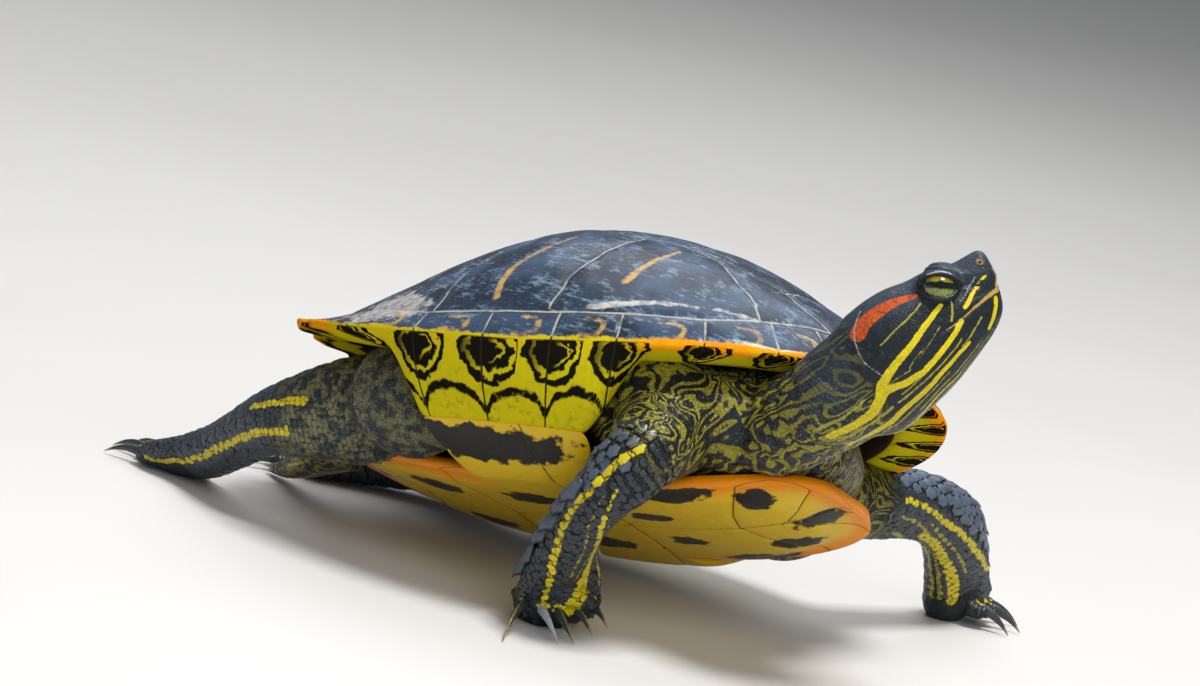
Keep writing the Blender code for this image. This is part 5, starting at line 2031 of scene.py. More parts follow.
class Wiring:
    """Puts nodes into a material's or a group's tree and joins them."""

    def __init__(self, tree: bpy.types.NodeTree) -> None:
        """Works on one tree."""
        self.tree = tree

    def feed(self, socket: Socket, given: Feed) -> None:
        """Joins a socket to another one, or sets its own value.

        Args:
            socket: The socket that is fed.
            given: The other socket, or the value.
        """
        if isinstance(given, bpy.types.NodeSocket):
            self.tree.links.new(given, socket)
        elif isinstance(given, tuple) and len(socket.default_value) == 4:
            socket.default_value = (*given, 1.0)
        else:
            socket.default_value = given

    def node(
        self, kind: str, inputs: dict[str | int, Feed] | None = None, **settings: object
    ) -> bpy.types.Node:
        """Adds a node.

        Args:
            kind: The node's type, without its ShaderNode prefix.
            inputs: What goes into its inputs, by name or number.
            settings: Its own settings.

        Returns:
            The new node.
        """
        made = self.tree.nodes.new("ShaderNode" + kind)
        for name, value in settings.items():
            setattr(made, name, value)
        for name, given in (inputs or {}).items():
            self.feed(made.inputs[name], given)
        return made

    def value(self, name: str) -> Socket:
        """A value stored at the piece's points."""
        return self.node("Attribute", attribute_name=name).outputs["Fac"]

    def place(self) -> Socket:
        """Where the point lies.

        Returns:
            Its place in millimetres.
        """
        here = self.node("TexCoord").outputs["Object"]
        inputs = {0: here, 1: (1 / MM, 1 / MM, 1 / MM)}
        return self.node("VectorMath", inputs, operation="MULTIPLY").outputs[0]

    def maths(self, operation: str, *given: Feed, clamp: bool = False) -> Socket:
        """One step of arithmetic."""
        return self.node("Math", dict(enumerate(given)), operation=operation, use_clamp=clamp).outputs[0]

    def times(self, value: Feed, factor: Feed, *more: Feed, clamp: bool = False) -> Socket:
        """A value times a factor, and more added to that if it is given."""
        return self.maths("MULTIPLY_ADD" if more else "MULTIPLY", value, factor, *more, clamp=clamp)

    def less(self, value: Feed, taken: Feed) -> Socket:
        """A value with another one taken from it."""
        return self.maths("SUBTRACT", value, taken)

    def rise(self, value: Feed, low: float, high: float, start: float = 0.0, end: float = 1.0) -> Socket:
        """A smooth change from start to end as the value goes from low to high."""
        inputs = {"Value": value, "From Min": low, "From Max": high, "To Min": start, "To Max": end}
        return self.node("MapRange", inputs, interpolation_type="SMOOTHSTEP").outputs["Result"]

    def mix(self, share: Feed, first: Feed, second: Feed) -> Socket:
        """The second colour laid over the first one by a share."""
        return self.node("Mix", {0: share, 6: first, 7: second}, data_type="RGBA").outputs[2]

    def noise(self, place: Socket, size: float, detail: float = 2.0, rough: float = 0.5) -> Socket:
        """Noise from 0 to 1 that changes over about so many millimetres."""
        inputs = {"Vector": place, "Scale": 1.0 / size, "Detail": detail, "Roughness": rough}
        return self.node("TexNoise", inputs).outputs["Fac"]

    def use(self, group: bpy.types.NodeTree, **inputs: Feed) -> bpy.types.Node:
        """Places a group.

        Args:
            group: The group's tree.
            inputs: What goes into its inputs; an underscore in a name stands for a space.

        Returns:
            The new node.
        """
        made = self.tree.nodes.new("ShaderNodeGroup")
        made.node_tree = group
        for name, given in inputs.items():
            self.feed(made.inputs[name.replace("_", " ")], given)
        return made

    def edge(self, group: bpy.types.NodeTree, place: Socket, distance: Feed, *manner: float) -> Socket:
        """A mark with an uneven edge.

        Args:
            group: The shared group that makes it.
            place: Where the point lies.
            distance: How far outside the mark it lies, in millimetres.
            manner: How ragged the edge is, the size of its grain and how soft it is, in millimetres.

        Returns:
            The mark's mask.
        """
        ragged, grain, soft = manner
        made = self.use(group, Place=place, Distance=distance, Ragged=ragged, Grain=grain, Soft=soft)
        return made.outputs[0]

    def bump(self, height: Feed, distance: float, normal: Socket | None = None) -> Socket:
        """A bump over another one.

        Args:
            height: Its height, from 0 to 1.
            distance: The millimetres that a height of 1 stands for.
            normal: The bump below it.

        Returns:
            The bent normal.
        """
        inputs = {"Height": height, "Distance": distance * MM, "Strength": 1.0}
        return self.node("Bump", inputs | ({} if normal is None else {"Normal": normal})).outputs[0]


@dataclass(frozen=True)
class GroupPlan:
    """The name and the sockets of a shared group."""

    name: str
    outputs: tuple[str, ...]
    inputs: dict[str, float]

    def start(self) -> tuple[Wiring, dict[str, Socket], bpy.types.Node]:
        """Makes the empty group.

        Returns:
            The wiring of its tree, its inputs by name, and its output node.
        """
        tree = bpy.data.node_groups.new(self.name, "ShaderNodeTree")
        tree.interface.new_socket("Place", in_out="INPUT", socket_type="NodeSocketVector")
        for name, default in self.inputs.items():
            socket = tree.interface.new_socket(name, in_out="INPUT", socket_type="NodeSocketFloat")
            socket.default_value = default
        for name in self.outputs:
            tree.interface.new_socket(name, in_out="OUTPUT", socket_type="NodeSocketFloat")
        came = tree.nodes.new("NodeGroupInput")
        return Wiring(tree), {s.name: s for s in came.outputs if s.name}, tree.nodes.new("NodeGroupOutput")


def ragged_edge_group() -> bpy.types.NodeTree:
    """A mark with an uneven edge, from the distance outside it in millimetres.

    Returns:
        The group.
    """
    inputs = {"Distance": 0.0, "Ragged": 0.4, "Grain": 1.5, "Soft": 0.18}
    wiring, given, out = GroupPlan("Uneven edge", ("Mask",), inputs).start()
    scale = wiring.maths("DIVIDE", 1.0, given["Grain"])
    inputs = {"Vector": given["Place"], "Scale": scale, "Detail": 3.0, "Roughness": 0.6}
    noise = wiring.node("TexNoise", inputs)
    shift = wiring.times(wiring.less(noise.outputs["Fac"], 0.5), 2.0)
    moved = wiring.times(shift, given["Ragged"], given["Distance"])
    share = wiring.maths("DIVIDE", moved, given["Soft"])
    wiring.feed(out.inputs["Mask"], wiring.rise(share, 1.0, -1.0))
    return wiring.tree


def skin_grain_group() -> bpy.types.NodeTree:
    """Small rounded scales: their relief, the creases between them and a tone for each.

    Returns:
        The group.
    """
    wiring, given, out = GroupPlan("Fine scales", ("Height", "Crease", "Tone"), {"Size": 1.0}).start()
    warp = wiring.node("TexNoise", {"Vector": given["Place"], "Scale": 0.35, "Detail": 1.0}).outputs["Color"]
    centred = wiring.node("VectorMath", {0: warp, 1: (0.5, 0.5, 0.5)}, operation="SUBTRACT").outputs[0]
    wide = wiring.node("VectorMath", {0: centred, "Scale": 2.2}, operation="SCALE").outputs[0]
    moved = wiring.node("VectorMath", {0: given["Place"], 1: wide}, operation="ADD").outputs[0]
    scale = wiring.maths("DIVIDE", 1.0, given["Size"])
    inputs = {"Vector": moved, "Scale": scale, "Randomness": 0.75}
    cells = wiring.node("TexVoronoi", inputs, feature="F1")
    edges = wiring.node("TexVoronoi", inputs, feature="DISTANCE_TO_EDGE")
    crease = wiring.rise(edges.outputs["Distance"], 0.13, 0.02)
    dome = wiring.rise(cells.outputs["Distance"], 0.75, 0.1)
    wiring.feed(out.inputs["Height"], wiring.times(crease, -0.7, dome))
    wiring.feed(out.inputs["Crease"], crease)
    split = wiring.node("SeparateColor", {0: cells.outputs["Color"]})
    wiring.feed(out.inputs["Tone"], split.outputs[0])
    return wiring.tree


def contour_group() -> bpy.types.NodeTree:
    """Swirling lines, as the contours of a slow noise.

    Returns:
        The group.
    """
    inputs = {"Size": 12.0, "Lines": 9.0, "Width": 0.3}
    wiring, given, out = GroupPlan("Swirls", ("Mask",), inputs).start()
    scale = wiring.maths("DIVIDE", 1.0, given["Size"])
    inputs = {"Vector": given["Place"], "Rotation": (0.0, -0.85, 0.0), "Scale": (2.6, 1.0, 1.0)}
    flow = wiring.node("Mapping", inputs, vector_type="TEXTURE").outputs[0]
    inputs = {"Vector": flow, "Scale": scale, "Detail": 2.0, "Roughness": 0.45, "Distortion": 0.9}
    slow = wiring.node("TexNoise", inputs)
    wave = wiring.maths("FRACT", wiring.times(slow.outputs["Fac"], given["Lines"]))
    away = wiring.maths("ABSOLUTE", wiring.less(wave, 0.5))
    fine = wiring.node("TexNoise", {"Vector": given["Place"], "Scale": 0.8, "Detail": 3.0}).outputs["Fac"]
    uneven = wiring.times(wiring.less(fine, 0.5), 0.5, away)
    half = wiring.times(given["Width"], 0.5)
    share = wiring.maths("DIVIDE", wiring.less(uneven, half), 0.06)
    wiring.feed(out.inputs["Mask"], wiring.rise(share, 1.0, -1.0))
    return wiring.tree


def scuff_group() -> bpy.types.NodeTree:
    """Fine scuffs and scratches of use, as a mask and a relief; the upper shell lays a pale painted sky sheen
    through the mask.

    Returns:
        The group.
    """
    wiring, given, out = GroupPlan("Scuffs", ("Mask", "Height"), {"Amount": 0.5, "Size": 6.0}).start()
    scale = wiring.maths("DIVIDE", 1.0, given["Size"])
    inputs = {"Vector": given["Place"], "Scale": scale, "Detail": 6.0, "Roughness": 0.68}
    broad = wiring.node("TexNoise", inputs)
    long = wiring.node("Mapping", {"Vector": given["Place"], "Scale": (0.25, 1.3, 1.3)}).outputs[0]
    streak = wiring.node("TexNoise", {"Vector": long, "Scale": 0.9, "Detail": 5.0, "Roughness": 0.7})
    both = wiring.times(broad.outputs["Fac"], streak.outputs["Fac"])
    low = wiring.times(given["Amount"], -0.3, 0.42)
    away = wiring.maths("DIVIDE", wiring.less(both, low), 0.1)
    wiring.feed(out.inputs["Mask"], wiring.rise(away, 0.0, 1.0))
    wiring.feed(out.inputs["Height"], both)
    return wiring.tree


@dataclass
class SharedGroups:
    """The effects that several finishes place."""

    edge: bpy.types.NodeTree = field(default_factory=ragged_edge_group)
    grain: bpy.types.NodeTree = field(default_factory=skin_grain_group)
    swirls: bpy.types.NodeTree = field(default_factory=contour_group)
    scuffs: bpy.types.NodeTree = field(default_factory=scuff_group)


def new_material(name: str) -> tuple[bpy.types.Material, Wiring, bpy.types.Node]:
    """Starts a node material.

    Args:
        name: Its name.

    Returns:
        The material, its wiring and its Principled shader.
    """
    made = bpy.data.materials.new(name)
    made.use_nodes = True
    return made, Wiring(made.node_tree), made.node_tree.nodes["Principled BSDF"]


@dataclass(frozen=True)
class UpperShellFinish:
    """Dark worn horn above with a painted blue-grey sky sheen, bright marked horn under the rim."""

    dark: Colour = (0.008, 0.011, 0.016)
    # The horn's lighter tone, made blue-grey as a painted sky sheen.
    slate_sheen: Colour = (0.055, 0.092, 0.160)
    # The scuffs' pale blue-grey: partly real scuffing, partly painted sky sheen.
    pale: Colour = (0.23, 0.32, 0.43)
    bar: Colour = (0.47, 0.29, 0.09)
    seam: Colour = (0.38, 0.37, 0.30)
    chalk: Colour = (0.52, 0.49, 0.45)
    orange: Colour = (0.80, 0.27, 0.004)
    yellow: Colour = (0.53, 0.45, 0.008)
    black: Colour = (0.009, 0.008, 0.006)

    def material(self, groups: SharedGroups) -> bpy.types.Material:
        """Makes the finish.

        Args:
            groups: The shared effects.

        Returns:
            The material.
        """
        made, wiring, shader = new_material("upper_shell_horn")
        place = wiring.place()
        rows, cross = wiring.value("rows"), wiring.value("cross")
        away = wiring.maths("MINIMUM", wiring.maths("ABSOLUTE", rows), wiring.maths("ABSOLUTE", cross))
        scuffs = wiring.use(groups.scuffs, Place=place, Amount=0.55, Size=7.0)
        top, ring_height = self.top_colour(wiring, groups, place, away, scuffs)
        under, seam_line = self.under_colour(wiring, groups, place, cross)
        below = wiring.value("below")
        turn = wiring.edge(groups.edge, place, below, 1.2, 3.0, 0.35)
        colour = wiring.mix(turn, under, top)
        deep = wiring.rise(below, 40.0, 44.0)
        wiring.feed(shader.inputs["Base Color"], wiring.mix(deep, colour, (0.05, 0.035, 0.02)))
        rough = wiring.rise(scuffs.outputs["Height"], 0.1, 0.42, 0.30, 0.52)
        chalky = wiring.times(wiring.value("worn"), 0.3, rough, clamp=True)
        more = wiring.less(chalky, 0.3)
        wiring.feed(shader.inputs["Roughness"], wiring.times(turn, more, 0.3))
        shader.inputs["Specular IOR Level"].default_value = 0.0
        wiring.feed(shader.inputs["Coat Weight"], wiring.times(turn, 0.6))
        shader.inputs["Coat Roughness"].default_value = 0.27
        fine = wiring.noise(place, 0.7, 4.0, 0.6)
        height = wiring.times(fine, 0.25, scuffs.outputs["Height"])
        normal = wiring.bump(height, 0.35)
        normal = wiring.bump(ring_height, 0.03, normal)
        wiring.feed(shader.inputs["Normal"], wiring.bump(seam_line, -0.12, normal))
        return made

    def top_colour(
        self, wiring: Wiring, groups: SharedGroups, place: Socket, away: Socket, scuffs: bpy.types.Node
    ) -> tuple[Socket, Socket]:
        """Colours the upper face.

        Args:
            wiring: The finish's tree.
            groups: The shared effects.
            place: Where the point lies, in millimetres.
            away: Millimetres from the nearest seam.
            scuffs: The scuffs of the horn.

        Returns:
            The colour, and the relief of the growth rings.
        """
        # The clouded, specked ground is partly the horn's own dark tone and partly painted blue-grey sky
        # sheen.
        cloud = wiring.rise(wiring.noise(place, 16.0, 3.0), 0.38, 0.66)
        base = wiring.mix(wiring.times(cloud, 0.55, 0.2), self.dark, self.slate_sheen)
        speck = wiring.rise(wiring.noise(place, 1.3, 4.0, 0.65), 0.5, 0.72)
        base = wiring.mix(wiring.times(speck, 0.4), base, self.slate_sheen)
        # Scuffs laid in pale blue-grey: real scuffing that also paints the sky sheen.
        base = wiring.mix(wiring.times(scuffs.outputs["Mask"], 0.55), base, self.pale)
        warped = wiring.times(wiring.noise(place, 9.0), 2.4, away)
        rings = wiring.maths("SINE", wiring.times(warped, 3.9))
        faded = wiring.times(rings, wiring.rise(away, 14.0, 2.0))
        base = wiring.mix(wiring.rise(faded, 0.2, 1.0, 0.0, 0.10), base, self.dark)
        marks = wiring.edge(groups.edge, place, wiring.value("mark"), 0.9, 1.8, 0.4)
        patchy = wiring.rise(wiring.noise(place, 3.0, 3.0), 0.3, 0.55, 0.35, 0.95)
        base = wiring.mix(wiring.times(marks, patchy), base, self.bar)
        line = wiring.less(away, 0.33)
        thin = wiring.edge(groups.edge, place, line, 0.22, 1.2, 0.16)
        broken = wiring.rise(wiring.noise(place, 6.0, 3.0), 0.34, 0.5, 0.35, 0.95)
        base = wiring.mix(wiring.times(thin, broken), base, self.seam)
        worn = wiring.less(0.55, wiring.value("worn"))
        flaky = wiring.edge(groups.edge, place, worn, 0.9, 4.0, 0.2)
        thick = wiring.rise(wiring.noise(place, 2.6, 4.0, 0.6), 0.3, 0.62, 0.35, 0.9)
        base = wiring.mix(wiring.times(flaky, thick), base, self.chalk)
        rim = wiring.maths("ADD", wiring.value("glow"), wiring.value("below"))
        rim = wiring.times(rim, -1.0)
        edge = wiring.edge(groups.edge, place, rim, 1.1, 3.0, 0.4)
        return wiring.mix(edge, base, self.orange), faded

    def under_colour(
        self, wiring: Wiring, groups: SharedGroups, place: Socket, cross: Socket
    ) -> tuple[Socket, Socket]:
        """Colours the rim's underside.

        Args:
            wiring: The finish's tree.
            groups: The shared effects.
            place: Where the point lies, in millimetres.
            cross: The signed distance from the nearest seam.

        Returns:
            The colour, and the seams that cross it.
        """
        below, glow, fore = (wiring.value(name) for name in ("below", "glow", "fore"))
        orange = wiring.times(wiring.rise(below, 8.0, 2.0), wiring.rise(glow, -1.7, 0.6, 0.12, 1.0))
        blend = wiring.times(orange, wiring.rise(wiring.noise(place, 7.0, 3.0), 0.3, 0.6, 0.5, 1.0))
        ground = wiring.mix(blend, self.yellow, self.orange)
        band = wiring.times(wiring.rise(below, 3.6, 4.6), wiring.rise(below, 9.5, 7.5))
        band = wiring.times(band, wiring.rise(glow, 0.4, 1.6))
        band = wiring.times(band, wiring.rise(wiring.noise(place, 6.0, 3.0), 0.42, 0.5))
        ground = wiring.mix(band, ground, self.black)
        stain = wiring.rise(wiring.noise(place, 4.0, 5.0, 0.65), 0.5, 0.8, 0.0, 0.6)
        ground = wiring.mix(stain, ground, (0.30, 0.26, 0.015))
        # Dark olive patches, more of them further in under the rim.
        low = wiring.rise(below, 11.0, 22.0, 0.15, 1.0)
        olive_patches_inward = wiring.rise(wiring.noise(place, 2.4, 5.0, 0.65), 0.5, 0.74, 0.0, 0.7)
        ground = wiring.mix(wiring.times(olive_patches_inward, low), ground, (0.13, 0.15, 0.012))
        wave = wiring.times(wiring.less(wiring.noise(place, 3.8, 4.0, 0.55), 0.5), 0.75)
        reach = wiring.maths("ADD", wiring.value("ocellus"), wave)
        blot = wiring.rise(reach, 1.04, 0.98)
        ring = wiring.times(wiring.rise(reach, 0.56, 0.61), wiring.rise(reach, 0.78, 0.73))
        second = wiring.times(wiring.rise(reach, 0.3, 0.34), wiring.rise(reach, 0.42, 0.38))
        ring = wiring.times(ring, wiring.rise(fore, -5.0, 0.5, 0.1, 1.0))
        second = wiring.times(second, wiring.rise(fore, 1.0, 3.4, 0.0, 0.9))
        pale = wiring.maths("MAXIMUM", ring, second)
        dark = wiring.times(blot, wiring.less(1.0, pale))
        arc = wiring.less(wiring.value("arc"), 1.35)
        arcs = wiring.edge(groups.edge, place, arc, 1.7, 3.4, 0.4)
        dark = wiring.maths("MAXIMUM", dark, arcs)
        ground = wiring.mix(dark, ground, self.black)
        line = wiring.less(wiring.maths("ABSOLUTE", cross), 0.22)
        seam = wiring.edge(groups.edge, place, line, 0.15, 1.5, 0.14)
        return wiring.mix(seam, ground, (0.022, 0.018, 0.008)), seam


@dataclass(frozen=True)
class LowerShellFinish:
    """Yellow horn, orange towards the edge, with dark blotches and fine dark seams."""

    yellow: Colour = (0.64, 0.42, 0.006)
    orange: Colour = (0.80, 0.25, 0.003)
    black: Colour = (0.010, 0.008, 0.006)

    def material(self, groups: SharedGroups) -> bpy.types.Material:
        """Makes the finish.

        Args:
            groups: The shared effects.

        Returns:
            The material.
        """
        made, wiring, shader = new_material("lower_shell_horn")
        shader.inputs["Specular IOR Level"].default_value = 0.28
        place = wiring.place()
        slow = wiring.times(wiring.noise(place, 9.0, 3.0), 8.0, wiring.value("edge"))
        ground = wiring.mix(wiring.rise(slow, 14.0, 5.0), self.yellow, self.orange)
        stain = wiring.rise(wiring.noise(place, 5.0, 5.0, 0.65), 0.52, 0.8, 0.0, 0.45)
        ground = wiring.mix(stain, ground, (0.42, 0.22, 0.03))
        blotch = wiring.edge(groups.edge, place, wiring.value("blotch"), 4.5, 5.5, 0.5)
        ground = wiring.mix(blotch, ground, self.black)
        line = wiring.less(wiring.maths("ABSOLUTE", wiring.value("seam")), 0.2)
        seam = wiring.edge(groups.edge, place, line, 0.15, 1.5, 0.14)
        wiring.feed(shader.inputs["Base Color"], wiring.mix(seam, ground, (0.06, 0.04, 0.015)))
        scuffs = wiring.use(groups.scuffs, Place=place, Amount=0.4, Size=9.0)
        wiring.feed(shader.inputs["Roughness"], wiring.rise(scuffs.outputs["Height"], 0.1, 0.4, 0.28, 0.5))
        height = wiring.times(seam, -0.5, scuffs.outputs["Height"])
        wiring.feed(shader.inputs["Normal"], wiring.bump(height, 0.3))
        return made


@dataclass(frozen=True)
class SkinFinish:
    """Dark skin of fine scales with yellow stripes, swirls and a red patch."""

    name: str = "striped_skin"
    dark: Colour = (0.006, 0.008, 0.007)
    # Blue-grey laid over the dark ground as a painted sky sheen.
    slate_sheen: Colour = (0.040, 0.060, 0.090)
    olive: Colour = (0.26, 0.23, 0.018)
    yellow: Colour = (0.66, 0.53, 0.004)
    red: Colour = (0.56, 0.085, 0.014)
    tan: Colour = (0.50, 0.30, 0.07)
    thin: Colour = (0.33, 0.31, 0.03)
    # Pale grey of the thin pale lines, one of which is a painted highlight on the upper lid.
    pale: Colour = (0.34, 0.38, 0.38)
    grain_size: float = 1.0
    grain_depth: float = 0.12
    gloss: float = 0.3
    rough: float = 0.28

    def material(self, groups: SharedGroups) -> bpy.types.Material:
        """Makes the finish.

        Args:
            groups: The shared effects.

        Returns:
            The material.
        """
        made, wiring, shader = new_material(self.name)
        shader.inputs["Specular IOR Level"].default_value = self.gloss
        place = wiring.place()
        grain = wiring.use(groups.grain, Place=place, Size=self.grain_size)
        colour = self.colour(wiring, groups, place, grain)
        wiring.feed(shader.inputs["Base Color"], colour)
        uneven = wiring.noise(place, 2.4, 3.0)
        rough = wiring.rise(uneven, 0.3, 0.7, self.rough, self.rough + 0.16)
        wiring.feed(shader.inputs["Roughness"], wiring.times(grain.outputs["Crease"], 0.2, rough))
        wrinkles = wiring.noise(place, 2.2, 3.0, 0.5)
        normal = wiring.bump(wrinkles, 0.22)
        relief = wiring.times(grain.outputs["Height"], wiring.value("rough"))
        wiring.feed(shader.inputs["Normal"], wiring.bump(relief, self.grain_depth, normal))
        return made

    def colour(self, wiring: Wiring, groups: SharedGroups, place: Socket, grain: bpy.types.Node) -> Socket:
        """Lays the markings over the ground colour.

        Args:
            wiring: The finish's tree.
            groups: The shared effects.
            place: Where the point lies, in millimetres.
            grain: The fine scales.

        Returns:
            The colour.
        """
        tone = wiring.times(grain.outputs["Tone"], 0.3, wiring.noise(place, 5.0, 4.0))
        tone = wiring.maths("ADD", tone, wiring.value("tone"))
        # Painted sky sheen: the blue-grey share of the ground, uneven from scale to scale.
        sky_sheen_share = wiring.times(wiring.value("slate_sheen"), wiring.rise(tone, 0.35, 1.0, 0.45, 1.0))
        base = wiring.mix(sky_sheen_share, self.dark, self.slate_sheen)
        # Painted sheen: streaks of pale blue, more of them where the sky sheen share is higher.
        drawn = wiring.node("Mapping", {"Vector": place, "Scale": (0.3, 1.2, 0.7)}).outputs[0]
        streak = wiring.rise(wiring.noise(drawn, 0.9, 4.0, 0.6), 0.56, 0.74, 0.0, 0.55)
        streak_sheen_share = wiring.maths("MAXIMUM", wiring.value("slate_sheen"), 0.4)
        base = wiring.mix(wiring.times(streak, streak_sheen_share), base, (0.10, 0.14, 0.18))
        swirls = wiring.use(groups.swirls, Place=place, Size=13.0, Lines=11.0, Width=0.4).outputs[0]
        base = wiring.mix(wiring.times(swirls, wiring.value("swirl")), base, self.olive)
        blots = wiring.rise(wiring.noise(place, 3.4, 4.0, 0.6), 0.43, 0.58)
        base = wiring.mix(wiring.times(blots, wiring.value("mottle")), base, (0.15, 0.145, 0.065))
        inks = {"fine": self.thin, "stripe": self.yellow, "red": self.red, "tan": self.tan, "pale": self.pale}
        for name, laid in inks.items():
            mask = wiring.edge(groups.edge, place, wiring.value(name), 0.3, 1.4, 0.12)
            shade = wiring.mix(wiring.rise(tone, 0.35, 1.0, 0.0, 0.5), laid, tuple(c * 0.62 for c in laid))
            if name == "red":
                grains = wiring.rise(wiring.noise(place, 1.0, 4.0, 0.7), 0.47, 0.62, 0.0, 0.8)
                shade = wiring.mix(grains, shade, (0.16, 0.035, 0.012))
            base = wiring.mix(mask, base, shade)
        # Painted shade in the creases between the fine scales.
        crease_shade = wiring.times(wiring.times(grain.outputs["Crease"], 0.7), wiring.value("rough"))
        base = wiring.mix(crease_shade, base, (0.006, 0.006, 0.005))
        # Near black where the edge value is high: painted shade in the nostril holes and under the scale
        # plates, and the dark lid rims.
        return wiring.mix(wiring.rise(wiring.value("edge"), 0.68, 0.9, 0.0, 0.9), base, (0.004, 0.004, 0.004))


@dataclass(frozen=True)
class HornFinish:
    """Dark claw horn with a pale streak, lighter at the tip."""

    name: str
    root: Colour
    streak: Colour
    tip: Colour

    def material(self, groups: SharedGroups) -> bpy.types.Material:
        """Makes the finish.

        Args:
            groups: The shared effects.

        Returns:
            The material.
        """
        made, wiring, shader = new_material(self.name)
        place = wiring.place()
        edge = wiring.edge(groups.edge, place, wiring.value("streak"), 0.25, 0.9, 0.2)
        colour = wiring.mix(edge, self.root, self.streak)
        colour = wiring.mix(wiring.rise(wiring.value("along"), 0.72, 0.98), colour, self.tip)
        cloud = wiring.rise(wiring.noise(place, 1.1, 4.0), 0.4, 0.75, 0.0, 0.4)
        wiring.feed(shader.inputs["Base Color"], wiring.mix(cloud, colour, tuple(c * 0.5 for c in self.root)))
        rough = wiring.rise(wiring.noise(place, 0.8, 3.0), 0.3, 0.7, 0.22, 0.42)
        wiring.feed(shader.inputs["Roughness"], rough)
        wiring.feed(shader.inputs["Normal"], wiring.bump(wiring.noise(place, 0.35, 4.0), 0.05))
        return made


@dataclass(frozen=True)
class EyeFinish:
    """A wet eye: dark pupil in a level dark bar, olive-yellow iris, dark outer ring."""

    iris: Colour = (0.06, 0.09, 0.008)
    bright: Colour = (0.27, 0.32, 0.02)
    orange: Colour = (0.36, 0.15, 0.008)
    black: Colour = (0.003, 0.003, 0.003)

    def material(self) -> bpy.types.Material:
        """Makes the finish.

        Returns:
            The material.
        """
        made, wiring, shader = new_material("eye_ball")
        place = wiring.place()
        out, up = wiring.value("out"), wiring.value("up")
        uneven = wiring.less(wiring.noise(place, 0.7, 4.0), 0.5)
        flecks = wiring.rise(wiring.noise(place, 0.35, 4.0, 0.7), 0.42, 0.62)
        colour = wiring.mix(flecks, self.iris, self.bright)
        warm = wiring.rise(wiring.times(uneven, 2.5, up), 1.3, 2.3)
        colour = wiring.mix(warm, colour, self.orange)
        bar = wiring.maths("ABSOLUTE", wiring.times(uneven, 0.5, up))
        colour = wiring.mix(wiring.rise(bar, 1.15, 0.7), colour, self.black)
        ragged = wiring.times(uneven, 0.35, out)
        colour = wiring.mix(wiring.rise(ragged, 1.35, 1.1), colour, self.black)
        colour = wiring.mix(wiring.rise(ragged, 3.9, 4.3), colour, (0.02, 0.016, 0.008))
        wiring.feed(shader.inputs["Base Color"], colour)
        wiring.feed(shader.inputs["Roughness"], wiring.rise(uneven, -0.3, 0.3, 0.08, 0.16))
        shader.inputs["Coat Weight"].default_value = 0.55
        shader.inputs["Coat Roughness"].default_value = 0.09
        wiring.feed(shader.inputs["Normal"], wiring.bump(wiring.noise(place, 1.5), 0.015))
        return made


@dataclass
class Eyes:
    """Both eyeballs, set deep between the lids."""

    sculpt: HeadSculpt = HeadSculpt()
    rows: int = 49
    columns: int = 64

    def ball(self, side: int) -> Shape:
        """One eyeball.

        Args:
            side: 1 for the left eye and -1 for the right one.

        Returns:
            Its surface, with each place's distance from its middle and its height across the opening.
        """
        out, along, up = self.sculpt.eye_axes()
        turns = np.arange(self.columns) * 2 * math.pi / self.columns
        turn, rise = np.meshgrid(turns, np.linspace(POLE_GAP, math.pi - POLE_GAP, self.rows))
        s, t, depth = np.sin(rise) * np.cos(turn), np.sin(rise) * np.sin(turn), np.cos(rise)
        ball = (s[..., None] * along + t[..., None] * up + depth[..., None] * out) * self.sculpt.ball
        swelling = 0.35 * np.exp(-((rise / 0.6) ** 2))
        half = EYE_PLACE + ball + swelling[..., None] * out
        points = HEAD_PLACE.out(half.reshape(-1, 3) * (1, side, 1))
        faces = [f[::side] for f in tube_faces(self.rows, self.columns)]
        reach = np.where(depth > 0, np.hypot(s, t), 1.0) * self.sculpt.ball
        return Shape(points, faces, {"out": reach.ravel(), "up": (t * self.sculpt.ball).ravel()})

    def build(self, finish: bpy.types.Material) -> None:
        """Makes both eyes."""
        self.ball(1).build("eyeball_left", finish, "eye_left")
        self.ball(-1).build("eyeball_right", finish, "eye_right")


